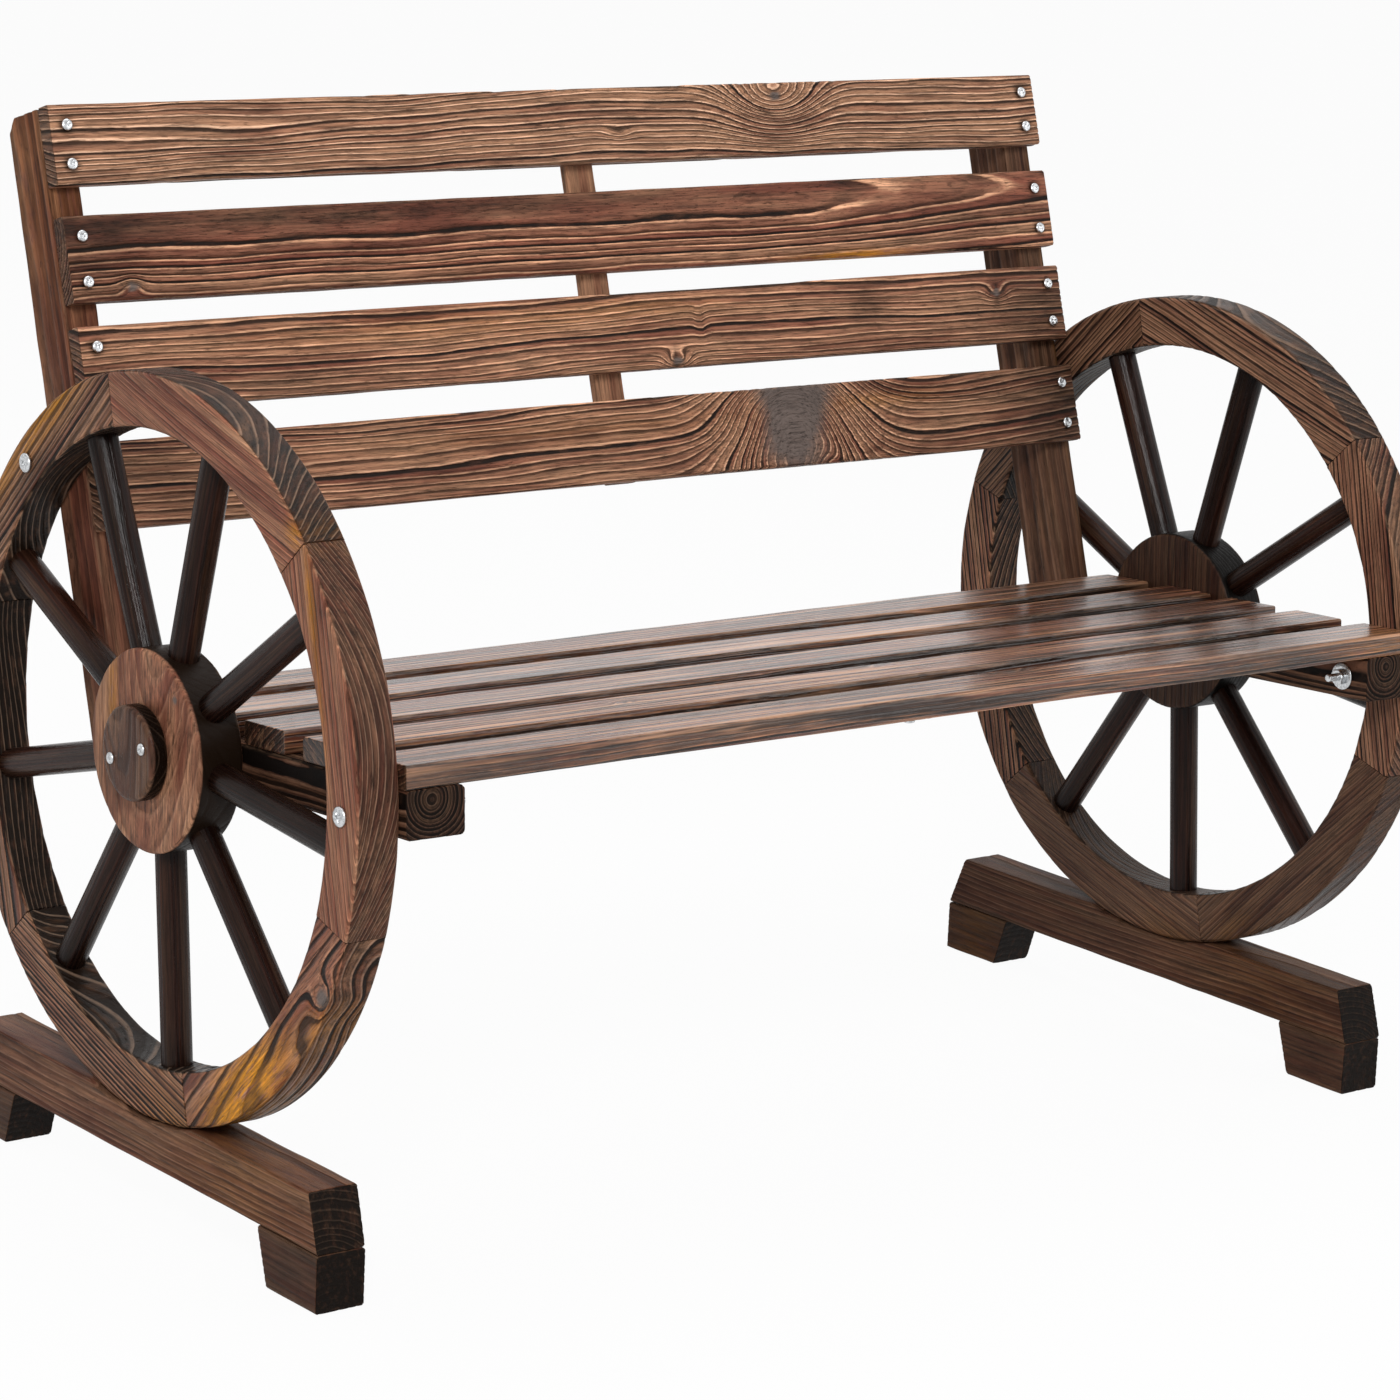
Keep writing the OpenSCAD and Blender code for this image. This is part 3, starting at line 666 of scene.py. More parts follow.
MAKERS = {
    "back_wood": lambda: wood("brushed_back_wood", roughness=0.44, shine=0.12, bump=1.0, highlight_strength=0.95),
    "seat_wood": lambda: wood("varnished_seat_wood", roughness=0.34, shine=0.1, bump=0.3, coat=0.66,
                              coat_roughness=0.09, streak=0.8, reflection_streaks=0.7, fine=4.0),
    "rim_wood": lambda: wood("torched_rim_wood", roughness=0.36, shine=0.1, bump=0.9, highlight_strength=0.22,
                             burnt_highlight=0.17),
    "hub_wood": lambda: wood("stained_hub_wood", roughness=0.42, shine=0.08, bump=0.35, contrast=0.7,
                             highlight_strength=0.15, fine=4.0, burnt_highlight=0.0),
    "dark_wood": lambda: wood("dark_spoke_wood", roughness=0.26, shine=0.08, bump=0.3, coat=0.08,
                              coat_roughness=0.12, highlight_strength=0.1),
    "foot_wood": lambda: wood("foot_wood", roughness=0.46, shine=0.07, bump=0.6, highlight_strength=0.25),
    "frame_wood": lambda: wood("frame_wood", roughness=0.5, shine=0.07, bump=0.5, highlight_strength=0.15, burnt_highlight=0.12),
    "plain_wood": bare_wood,
    "zinc_steel": zinc,
}


def finish_of(slot):
    """The material for a slot of the record, made once."""
    scene = bpy.context.scene
    name = "bench_" + slot
    if name not in scene:
        scene[name] = MAKERS[slot]()
    return scene[name]


# What each timber's tree looks like, in millimetres from the timber's middle

# In each back slat the last burn spot darkens its lower edge: painted shade. The spots at the right ends of
# slats 3 and 4 are a deeper brown with painted shade beside the right wheel's rim.
BACK_SLATS = {
    "back_slat_1": Grain(
        11, spacing=5.4, pith=(-150, -60), sway=7, ripple=1.3, dark=0.22, tone=1.03, warm=0.2,
        knots=(Spot(204, 19, 46, 27, 40, core=0.14), Spot(-150, 70, 130, 40, 16, core=0),
               Spot(36, -8, 14, 6, 4, core=0), Spot(-330, 4, 60, 10, 4, core=0)),
        burns_and_shade=(Spot(204, 20, 9, 5, 0.5), Spot(0, -34, 700, 5, 0.5))),
    "back_slat_2": Grain(
        23, spacing=3.9, pith=(22, -37.6), slope=(0.0, -0.027), turn=227, sway=0.5, ripple=0.35,
        dark=0.16, tone=0.96, warm=0.55, knots=(Spot(-441, -23, 10, 8, 5, core=0.6),),
        calm=(Spot(290, 18, 50, 10, 0.9), Spot(428, 20, 30, 9, 0.8), Spot(312, 19, 20, 10, 0.5),
              Spot(440, 19, 20, 9, 0.5)),
        flames=(Spot(262, -32, 50, 4),),
        burns_and_shade=(Spot(-200, 26, 380, 12, 0.7), Spot(-480, 6, 70, 40, 0.6), Spot(420, -6, 110, 14, 0.35),
                  Spot(-250, -34, 360, 7, 0.6))),
    "back_slat_3": Grain(
        37, spacing=5.2, pith=(-120, -60), ripple=1.1, dark=0.25, tone=1.04, warm=0.45,
        knots=(Spot(65, -27, 13, 8, 13, core=0.45), Spot(419, 12, 12, 9, 8, core=0.4),
               Spot(93, 4, 6, 16, 3, core=0.2)),
        flames=(Spot(-150, 14, 200, 12, 0.12), Spot(40, 20, 90, 7, 0.12)),
        burns_and_shade=(Spot(275, 8, 20, 16, 0.6), Spot(-330, -20, 110, 10, 0.4), Spot(485, -4, 80, 40, 0.65),
                  Spot(63, -26, 2.5, 10, 0.9), Spot(419, 12, 3, 10, 0.6), Spot(93, 6, 1.5, 14, 0.6),
                  Spot(0, -36, 700, 5, 0.6))),
    "back_slat_4": Grain(
        41, spacing=5.8, pith=(-130, -80), sway=8, ripple=1.1, dark=0.26, tone=0.94,
        knots=(Spot(178, 8, 66, 78, -90, core=0.78), Spot(204, -36, 16, 12, 14, core=0.2)),
        calm=(Spot(178, 4, 36, 36, 0.8),),
        flames=(Spot(279, 16, 60, 7, 0.25), Spot(-60, 12, 180, 10, 0.1)),
        burns_and_shade=(Spot(495, -2, 90, 70, 0.8), Spot(178, 8, 2.4, 14, 1.2), Spot(170, -22, 10, 3, 0.8),
                  Spot(0, -38, 700, 5, 0.5))),
}


def seat_grain(seed, spacing, pith, gold, end, knots=(), dark=0.26, warm=0.8):
    """A slat behind the front one: gold under its front edge, painted shadow along its front edge where the
    gap before it lies, and a painted dark reflection at one end.
    """
    return Grain(seed, spacing, pith, sway=2, dark=dark, tone=0.8, warm=warm, end_char=0.85, knots=knots,
                 flames=(Spot(0, -25, 700, 1.2, gold),), burns_and_shade=(Spot(0, -28.5, 900, 3.2, 0.95), end))


SEAT_SLATS = {
    "seat_slat_1": Grain(
        53, spacing=4.6, pith=(-60, -90), sway=2, dark=0.26, tone=0.78, warm=0.8, end_char=0.85,
        knots=(Spot(98, 17, 18, 8, 7),), flames=(Spot(470, -20, 60, 20, 0.4), Spot(-60, -24.5, 260, 1, 0.6)),
        burns_and_shade=(Spot(340, 0, 90, 40, 0.7), Spot(98, 17, 26, 12, 0.5), Spot(0, -28.5, 900, 3.2, 0.5),
                  Spot(-440, -27, 150, 6, 0.4))),
    # Near each slat's right end a spot paints the dark reflection of the right post
    "seat_slat_2": seat_grain(61, 4.4, (70, -90), 0.5, Spot(380, 0, 80, 60, 0.55),
                              (Spot(38, 22, 14, 7, 6), Spot(-221, 6, 12, 7, 6))),
    "seat_slat_3": seat_grain(67, 4.6, (-80, -90), 0.5, Spot(390, 0, 80, 60, 0.55), dark=0.28, warm=0.9),
    "seat_slat_4": seat_grain(71, 4.0, (-60, -120), 0.6, Spot(390, 0, 80, 60, 0.55), warm=0.95),
    "seat_slat_5": seat_grain(83, 4.4, (90, -80), 0.6, Spot(410, 0, 100, 60, 0.6)),
}
RIM_BOARDS = {
    "left_felloe_1": Grain(101, 3.4, (-160, -60), dark=0.2, warm=0.75, bold=0.5,
                           flames=(Spot(-128, -16, 10, 9, 0.7),), burns_and_shade=(Spot(120, 10, 40, 30, 0.4),)),
    "left_felloe_2": Grain(103, 4.6, (60, -60), dark=0.36, tone=0.84, warm=0.35,
                           flames=(Spot(-70, 12, 90, 14), Spot(90, 10, 60, 10, 0.7)),
                           burns_and_shade=(Spot(10, -10, 50, 12, 0.6), Spot(-140, 10, 20, 30, 0.6))),
    "left_felloe_3": Grain(107, 4.6, (-70, -60), dark=0.36, tone=0.7, warm=0.5),
    "left_felloe_4": Grain(109, 4.0, (-300, -60), dark=0.4, tone=0.9,
                           flames=(Spot(120, -4, 50, 30, 0.35),)),
    "left_felloe_5": Grain(113, 7.0, (12, -26), slope=(0.0, 0.08), dark=0.2, warm=0.55,
                           knots=(Spot(88, -2, 16, 13, 12, core=0.6),), calm=(Spot(-50, 4, 40, 16, 0.5),),
                           flames=(Spot(-52, 0, 62, 22, 1.5), Spot(60, 12, 40, 14, 0.4)),
                           burns_and_shade=(Spot(36, 6, 14, 20, 0.3), Spot(-130, 0, 10, 30, 0.3))),
    "left_felloe_6": Grain(127, 2.8, (-90, -90), sway=2, dark=0.26, tone=0.98, warm=0.7, bold=0.5,
                           flames=(Spot(100, -16, 30, 5, 0.6), Spot(40, -16, 60, 4, 0.3)),
                           burns_and_shade=(Spot(90, 0, 3, 12, 0.5), Spot(40, -4, 60, 2, 0.5))),
    "right_felloe_1": Grain(131, 4.4, (-200, -60), dark=0.36, tone=0.76, warm=0.25),
    "right_felloe_2": Grain(137, 4.0, (-120, -60), tone=0.55, warm=0.25),
    "right_felloe_3": Grain(139, 4.4, (-90, -60), dark=0.28, tone=0.8, warm=0.5, bold=1.6),
    "right_felloe_4": Grain(149, 4.0, (-110, -60), dark=0.3, tone=0.4, warm=0.25, bold=0.5,
                            flames=(Spot(110, 0, 40, 20, 0.3),)),
    "right_felloe_5": Grain(151, 4.0, (-140, -60), dark=0.3, tone=0.32, warm=0.25, bold=0.5,
                            flames=(Spot(-110, 0, 40, 20, 0.4),)),
    "right_felloe_6": Grain(157, 4.0, (-130, -60), dark=0.3, tone=0.8, warm=0.45),
}
POSTS = {
    "left": Grain(232, 10.0, (-60, -32), sway=1.5, dark=0.4, tone=0.62, warm=0.7, bold=0.45,
                  flames=(Spot(200, 0, 120, 50, 0.15),)),
    "right": Grain(234, 8.0, (-60, -32), sway=1.5, dark=0.3, tone=0.32, warm=0.2, bold=0.4,
                   flames=(Spot(-60, 14, 300, 4, 0.4),)),
}

# How much the torch burnt the outer and inner sides of some rim boards, from 0 to 1
OUTSIDE_CHAR = {"left_felloe_1": 0.9, "left_felloe_6": 0.72, "left_felloe_5": 0.66,
                "right_felloe_1": 0.85, "right_felloe_6": 0.5}
INSIDE_CHAR = {"left_felloe_4": 1.0, "right_felloe_3": 0.82, "right_felloe_4": 0.75}


# Operators: one for each piece or group of like pieces

class Build(bpy.types.Operator):
    """Shared form of the bench's operators."""

    bl_options = {"REGISTER", "UNDO"}

    def execute(self, context):
        self.build()
        return {"FINISHED"}


class BENCH_OT_back_slats(Build):
    """Four brushed slats of the back, with their knots and the dents under their screws"""

    bl_idname = "bench.back_slats"
    bl_label = "Back slats"

    def build(self):
        for node, grain in BACK_SLATS.items():
            axes, size = back_axes().centred(node)
            heads = [axes.own(top_of(solid, axes.turn[2])[None])[0] for solid in solids("back_slat_screws")]
            heads = [head for head in heads if abs(head[1]) < size[1] / 2]
            bar(node, back_axes(), grain, "back_wood", (4.5, 1.05), brush=1.5,
                heads=heads, busy=[(sign * abs(heads[0][0]), 10, 1.4) for sign in (-1, 1)])


class BENCH_OT_seat_slats(Build):
    """Five varnished slats of the seat"""

    bl_idname = "bench.seat_slats"
    bl_label = "Seat slats"

    def build(self):
        for node, grain in SEAT_SLATS.items():
            bar(node, seat_axes(), grain, "seat_wood", brush=0.0)


class BENCH_OT_battens(Build):
    """The battens under the seat and behind the back"""

    bl_idname = "bench.battens"
    bl_label = "Battens"

    def build(self):
        seat, back = seat_axes().turn, back_axes().turn
        plain = Grain(211, 5, (-40, -60), dark=0.2, tone=0.84, warm=0.1, bold=0.12)
        for node, axes in (("back_batten", Axes(back[1], back[0], -back[2])),
                           ("seat_batten", Axes(seat[1], -seat[0], seat[2]))):
            bar(node, axes, plain, "frame_wood", (5.0, 1.4), brush=0.4)


class BENCH_OT_rails(Build):
    """The rails that carry the seat. Each one's back end is cut to the lean of the post"""

    bl_idname = "bench.rails"
    bl_label = "Seat rails"

    def build(self):
        turn = seat_axes().turn

        def cut(own, size):
            """Slides the back end along, so that its face follows the post."""
            shift = lean_on_seat() * (own[:, 2] - size[2] / 2)
            return slide(own, far_share(own, size) * shift)

        for side, sign in SIDES.items():
            grain = Grain(223 + sign, 3.4, (3, 10), sway=1.5, ripple=1.0, dark=0.4, tone=0.34, warm=0.3,
                          end_char=0.7)
            bar(side + "_seat_rail", Axes(turn[1], -turn[0], turn[2]), grain, "frame_wood", (4.5, 1.3),
                shape=cut, brush=0.7, rounding=0.004)


class BENCH_OT_posts(Build):
    """The leaning posts, chamfered at the back of the top and cut to the seat's slope at the foot"""

    bl_idname = "bench.posts"
    bl_label = "Back posts"

    def build(self):
        turn = back_axes().turn
        chamfer = 12.0

        def cut(own, size):
            """Lowers the top's back edge, and lets the foot follow the seat's slope."""
            share = far_share(own, size)
            behind = own[:, 2] + size[2] / 2
            top = -np.clip(chamfer - behind, 0, chamfer)
            return slide(own, share * top + (1 - share) * (lean_on_seat() * behind))

        for side, grain in POSTS.items():
            bar(side + "_back_post", Axes(turn[1], turn[0], turn[2]), grain, "frame_wood", (5.0, 1.3),
                shape=cut, brush=0.8)


def way_out(angle):
    """The direction out of a hub at an angle up from the front."""
    return np.array([0, -math.cos(angle), math.sin(angle)])


class Wheel:
    """Places and sizes of one wheel, read from its nodes."""

    def __init__(self, side):
        self.sign = SIDES[side]
        self.boards = [f"{side}_felloe_{k}" for k in range(1, FELLOES + 1)]
        points = np.concatenate([corners(node) for node in self.boards])
        low, high = points.min(0), points.max(0)
        self.middle = (low + high) / 2
        self.outer = (high[1] - low[1]) / 2
        self.inner = np.hypot(*(points[:, 1:] - self.middle[1:]).T).min()
        self.thick = high[0] - low[0]

    def at(self, x, radius, angle):
        """Points from their places along the bench, radii and angles up from the front."""
        return np.column_stack([x, self.middle[1] - radius * np.cos(angle),
                                self.middle[2] + radius * np.sin(angle)])

    def angles(self, node):
        """The lowest and highest angle of a rim board, without a jump."""
        points = corners(node)[:, 1:] - self.middle[1:]
        middle = math.atan2(points[:, 1].mean(), -points[:, 0].mean())
        angle = np.arctan2(points[:, 1], -points[:, 0]) - middle
        angle = (angle + math.pi) % (2 * math.pi) - math.pi
        return middle + angle.min(), middle + angle.max()


class BENCH_OT_rims(Build):
    """The twelve sawn boards of the two rims. Each one's grain runs along its chord"""

    bl_idname = "bench.rims"
    bl_label = "Wheel rims"

    def build(self):
        for side in SIDES:
            wheel = Wheel(side)
            for node in wheel.boards:
                self.board(wheel, node)

    def board(self, wheel, node):
        low, high = wheel.angles(node)
        middle = (low + high) / 2
        radius = (wheel.outer + wheel.inner) / 2
        size = np.array([(high - low) * radius, wheel.outer - wheel.inner, wheel.thick])
        worn, quads, edge = squared(size, (3.4, 1.2), shapes().rim_round * METRE, 0.6)
        points = wheel.at(wheel.middle[0] + wheel.sign * worn[:, 2], radius + worn[:, 1],
                          middle + worn[:, 0] / radius)
        board = Axes((0, math.sin(middle), math.cos(middle)), way_out(middle), (wheel.sign, 0, 0),
                     wheel.middle + radius * way_out(middle))
        barrel = np.abs(worn[:, 2]) < size[2] / 2 - 1.5
        inside = INSIDE_CHAR.get(node, 1.0) * barrel * (worn[:, 1] < 1 - size[1] / 2)
        outside = OUTSIDE_CHAR.get(node, 0.4) * barrel * (worn[:, 1] > size[1] / 2 - 1)
        timber(node, points, quads, board.own(points), RIM_BOARDS[node], edge, "rim_wood", 0.8,
               burn=np.maximum(inside, outside))


def round_bar(length, radius, cell, ends, widen, around=8):
    """A turned bar along the first axis with softened ends. widen gives its radius's share."""
    disc, turned, angle, quads = round_grid(lines(length, cell), around)
    flat = soften(np.column_stack([disc[:, 0], turned * radius]), np.array([length / 2, radius]), ends)
    return about_axis(flat[:, 0], flat[:, 1] * widen(flat[:, 0], angle), angle), quads


def join(parts):
    """One mesh of several: their points and quads."""
    starts = np.cumsum([0] + [len(points) for points, _ in parts])
    return (np.concatenate([points for points, _ in parts]),
            np.concatenate([quads + start for (_, quads), start in zip(parts, starts)]))


class BENCH_OT_spokes(Build):
    """Nine turned spokes a wheel, none quite round"""

    bl_idname = "bench.spokes"
    bl_label = "Spokes"

    def build(self):
        for side in SIDES:
            self.spokes(Wheel(side), side + "_spokes")

    def spokes(self, wheel, node):
        points = corners(node)
        reach = np.hypot(*(points[:, 1:] - wheel.middle[1:]).T)
        start, end = reach.min(), reach.max()
        thick = np.ptp(points[:, 0])
        parts, owns, rings = [], [], []
        for i in range(SPOKES):
            angle = FIRST_SPOKE + 2 * math.pi * i / SPOKES
            grain = Grain(307 + 7 * i + wheel.sign, 3.4, (-10, -14), sway=1.5)

            def uneven(along, turn, seed=grain.seed):
                return 1 - 0.012 * (1 + drift(about_axis(along, 12, turn), (60, 9, 9), seed))

            own, quads = round_bar(end - start, thick / 2, 4.0, 1.2, uneven)
            out = way_out(angle)
            spoke = Axes(out, np.cross((1, 0, 0), out), (1, 0, 0), wheel.middle + out * (start + end) / 2)
            parts.append((spoke.bench(own), quads))
            owns.append(own)
            rings.append(grain.rings(own))
        points, quads = join(parts)
        mesh = put_mesh(node, "turned", points, quads, "dark_wood")
        own = np.concatenate(owns)
        # Painted shade: each spoke darkens towards its ends, where it meets the hub and the rim
        half_shown, fade = 85, 40
        shaded_ends = 0.5 * (1 - ramp(half_shown - np.abs(own[:, 0]), 0, fade))
        # Each spoke takes its noise from another place along the tree
        own[:, 0] += np.repeat(400 * np.arange(SPOKES), len(owns[0]))
        put_grain(mesh, own, np.concatenate(rings))
        put_values(mesh, "marks", np.column_stack([np.zeros((len(own), 3)), shaded_ends]))
        bright, dark, warm, bold = 0.09, 0.34, 0.8, 0.45
        tone = np.tile([bright, dark, warm, bold], (len(own), 1))
        tone[:, 0] = np.clip(bright + 0.06 * drift(own, (60, 20, 20), wheel.sign + 5), 0.05, 0.3)
        put_values(mesh, "tone", tone)


def wooden_disc(node, grain, slot, sign):
    """A thick disc that looks out along the bench, with its grain upright and its barrel made much darker.
    """
    cell, rounding = 1.7, 3.0
    face, size = Axes((0, 0, 1), (0, 1, 0), (sign, 0, 0)).centred(node)
    disc, turned, angle, quads = round_grid(lines(size[2], cell), round(size[0] / cell))
    half = np.array([size[2], size[0]]) / 2
    flat = soften(np.column_stack([disc[:, 0], turned * half[1]]), half, rounding)
    own = np.column_stack([flat[:, 1] * np.cos(angle), flat[:, 1] * np.sin(angle), flat[:, 0]])
    rim = 1 - ramp(np.hypot(half[0] - np.abs(flat[:, 0]), half[1] - flat[:, 1]), 0, 3)
    barrel = ramp(flat[:, 1], half[1] - 1.2, half[1] - 0.2) * ramp(half[0] - flat[:, 0], 1.5, 5)
    mesh = timber(node, face.bench(own), quads, own, grain, rim, slot, 0.5)
    marks = grain.marks(own, rim)
    marks[:, 3] += 1.3 * barrel
    put_values(mesh, "marks", marks)


class BENCH_OT_hubs(Build):
    """The two hubs and their caps"""

    bl_idname = "bench.hubs"
    bl_label = "Hubs and caps"

    def build(self):
        grains = {
            "left": Grain(401, 7.5, (-6, -40), slope=(-0.1, 0.22), sway=1, dark=0.14, tone=0.88,
                          warm=0.45, bold=0.4, knots=(Spot(47, -41, 7, 7, 5),),
                          flames=(Spot(34, 46, 30, 6, 0.6),), burns_and_shade=(Spot(-30, 40, 30, 20, 0.4),)),
            "right": Grain(409, 4.0, (-60, -60), slope=(0.05, 0), dark=0.3, tone=0.15, bold=0.6),
        }
        for side, sign in SIDES.items():
            wooden_disc(side + "_hub", grains[side], "hub_wood", sign)
            cap = Grain(419 + sign, 4.2, (6, -30), slope=(0.2, 0.1), dark=0.3, tone=0.34, warm=0.3, bold=0.4)
            wooden_disc(side + "_hub_cap", cap, "dark_wood", sign)


class BENCH_OT_feet(Build):
    """The two long feet, notched for their wheels, and the four blocks under them"""

    bl_idname = "bench.feet"
    bl_label = "Feet"

    def build(self):
        for side in SIDES:
            wheel = Wheel(side)
            self.beam(side + "_foot_beam", wheel)
            for end, name in ((-1, "front"), (1, "back")):
                self.block(f"{side}_{name}_foot_block", wheel.sign, end)

    def beam(self, node, wheel):
        points = corners(node)
        top = points[:, 2].max()
        on_top = points[points[:, 2] > top - 0.01]
        bevels = on_top[:, 1].min() - points[:, 1].min(), points[:, 1].max() - on_top[:, 1].max()
        middle = (points.max(0) + points.min(0)) / 2
        clearance = 0.3
        notch = wheel.outer + clearance

        def shape(own, size):
            """Slopes both ends and sinks the notch for the wheel."""
            height = own[:, 2] / size[2] + 0.5
            front = np.clip(0.5 - own[:, 0] / size[0], 0, 1)
            along = own[:, 0] + height * (front * bevels[0] - (1 - front) * bevels[1])
            across = along + middle[1] - wheel.middle[1]
            drop = np.sqrt(np.maximum(notch ** 2 - across ** 2, 0))
            sunk = np.minimum(size[2] / 2, wheel.middle[2] - drop - middle[2])
            out = (own[:, 2] + size[2] / 2) * (sunk + size[2] / 2) / size[2] - size[2] / 2
            return np.column_stack([along, own[:, 1], out])

        reach = math.sqrt(notch ** 2 - (wheel.middle[2] - top) ** 2)
        ends = wheel.middle[1] - middle[1] + np.array([-reach, reach])
        grain = Grain(503 + wheel.sign, 5.2, (10, -46), sway=3, dark=0.3, tone=0.4 - 0.1 * wheel.sign,
                      bold=0.4, end_char=1.0, flames=(Spot(-150, 0, 90, 60, 0.2),))
        bar(node, self.lengthways(), grain, "foot_wood", (4.0, 1.3), shape=shape, brush=0.7,
            busy=[(end, 5, 0.6) for end in ends])

    def block(self, node, sign, end):
        points = corners(node)
        sole = points[points[:, 2] < points[:, 2].min() + 0.01]
        bevel = end * ((end * sole[:, 1]).min() - (end * points[:, 1]).min())

        def shape(own, size):
            """Slopes the inner end back towards the sole."""
            below = 0.5 - own[:, 2] / size[2]
            inward = np.clip(0.5 - end * own[:, 0] / size[0], 0, 1)
            return slide(own, bevel * below * inward)

        golden = (Spot(0, 0, 30, 30, 0.5),) if node == "right_back_foot_block" else ()
        grain = Grain(521 + 3 * end + sign, 5.5, (10, -40), dark=0.3, tone=0.4, warm=0.35, bold=0.15,
                      end_char=1.0, flames=golden, burns_and_shade=(Spot(0, 0, 200, 200, 0.5),))
        bar(node, self.lengthways(), grain, "foot_wood", (2.4, 1.4), shape=shape, brush=0.6)

    def lengthways(self):
        return Axes((0, 1, 0), (-1, 0, 0), (0, 0, 1))


# Fasteners

def solids(node):
    """A node's separate solids, each as its points in millimetres."""
    points = corners(node)
    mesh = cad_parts[node].data
    edges = np.empty(len(mesh.edges) * 2, np.int32)
    mesh.edges.foreach_get("vertices", edges)
    same = np.unique(points.round(2), axis=0, return_inverse=True)[1].reshape(-1)
    a, b = same[edges.reshape(-1, 2)].T
    label = np.arange(same.max() + 1)
    while True:
        least = np.minimum(label[a], label[b])
        changed = label.copy()
        np.minimum.at(changed, a, least)
        np.minimum.at(changed, b, least)
        changed = changed[changed]
        if (changed == label).all():
            break
        label = changed
    return [points[label[same] == number] for number in np.unique(label)]


def top_of(solid, outwards):
    """Middle of the end of a solid that looks outwards."""
    reach = solid @ outwards
    return solid[reach > reach.max() - 0.05].mean(0)


def head_mesh(radius, height, recess):
    """A domed head on the plane x = 0 with a cross pressed into it. It looks along the first axis."""
    disc, turned, _, quads = round_grid(np.linspace(0, 1, 5), 24)
    half_width, reach = 0.16, 0.6

    def arm(across, along):
        """The share of the cross's depth on one of its arms."""
        inside = 1 - ramp(across, half_width - 0.06, half_width + 0.05)
        return inside * (1 - ramp(along, reach - 0.1, reach))

    a, b = np.abs(disc[:, 1]), np.abs(disc[:, 2])
    dome = height * (0.42 + 0.58 * np.sqrt(np.maximum(1 - turned ** 2, 0)))
    dome -= recess * np.maximum(arm(a, b), arm(b, a))
    return np.column_stack([disc[:, 0] * dome, disc[:, 1:] * radius]), quads


def thread_valley(along, turn, pitch):
    """How deep a thread is cut at each place along it and round it, from 0 to 1."""
    rise = (along / pitch - turn / (2 * math.pi)) % 1
    return np.abs(2 * rise - 1)


def facing(direction, turn, middle):
    """Axes whose first looks along direction, turned about it."""
    first = np.asarray(direction, float)
    side = np.cross(first, (0, 0, 1) if abs(first[2]) < 0.9 else (0, 1, 0))
    side /= np.linalg.norm(side)
    up = np.cross(first, side)
    c, s = math.cos(turn), math.sin(turn)
    return Axes(first, c * side + s * up, c * up - s * side, middle)


def put_zinc(node, parts):
    points, quads = join(parts)
    put_mesh(node, "zinc", points, quads, "zinc_steel")


# Where the heads of each node's screws look
SCREWS = {
    "hub_cap_screws": "aside", "back_slat_screws": "front", "back_batten_screws": "behind",
    "seat_slat_screws": "under", "seat_batten_screws": "under", "post_screws": "behind",
    "foot_block_screws": "ground", "wheel_foot_screws": "ground",
}


class BENCH_OT_screws(Build):
    """Every wood screw, with a domed head and a pressed cross"""

    bl_idname = "bench.screws"
    bl_label = "Screws"

    def build(self):
        back, seat = back_axes().turn, seat_axes().turn
        ways = {"front": back[2], "behind": -back[2], "under": -seat[2], "ground": np.array([0, 0, -1.0])}
        for node, way in SCREWS.items():
            parts = []
            for solid in solids(node):
                aside = np.array([math.copysign(1, solid[:, 0].mean()), 0, 0])
                parts.append(self.screw(solid, ways.get(way, aside), len(parts)))
            put_zinc(node, parts)

    def screw(self, solid, outwards, number):
        """One screw: its head looks outwards and its threaded shank is behind."""
        pitch = 1.6
        top = top_of(solid, outwards)
        reach = solid @ outwards
        aside = solid - top
        aside = np.linalg.norm(aside - np.outer(aside @ outwards, outwards), axis=1)
        head_radius = aside.max()
        head_height = reach.max() - reach[aside > 0.85 * head_radius].min()
        radius = aside[reach < reach.max() - 2 * head_height].max()
        length = np.ptp(reach) - head_height

        def thread(along, turn):
            point = ramp(along + length / 2, 0, 2 * radius)
            return (1 - 0.14 * thread_valley(along, turn, pitch)) * (0.25 + 0.75 * point)

        shank, quads = round_bar(length, radius, 0.8, 0.3, thread, 4)
        shank[:, 0] -= length / 2
        points, quads = join([head_mesh(head_radius, head_height, 0.45 * head_height), (shank, quads)])
        return facing(outwards, 1.1 * number, top - outwards * head_height).bench(points), quads


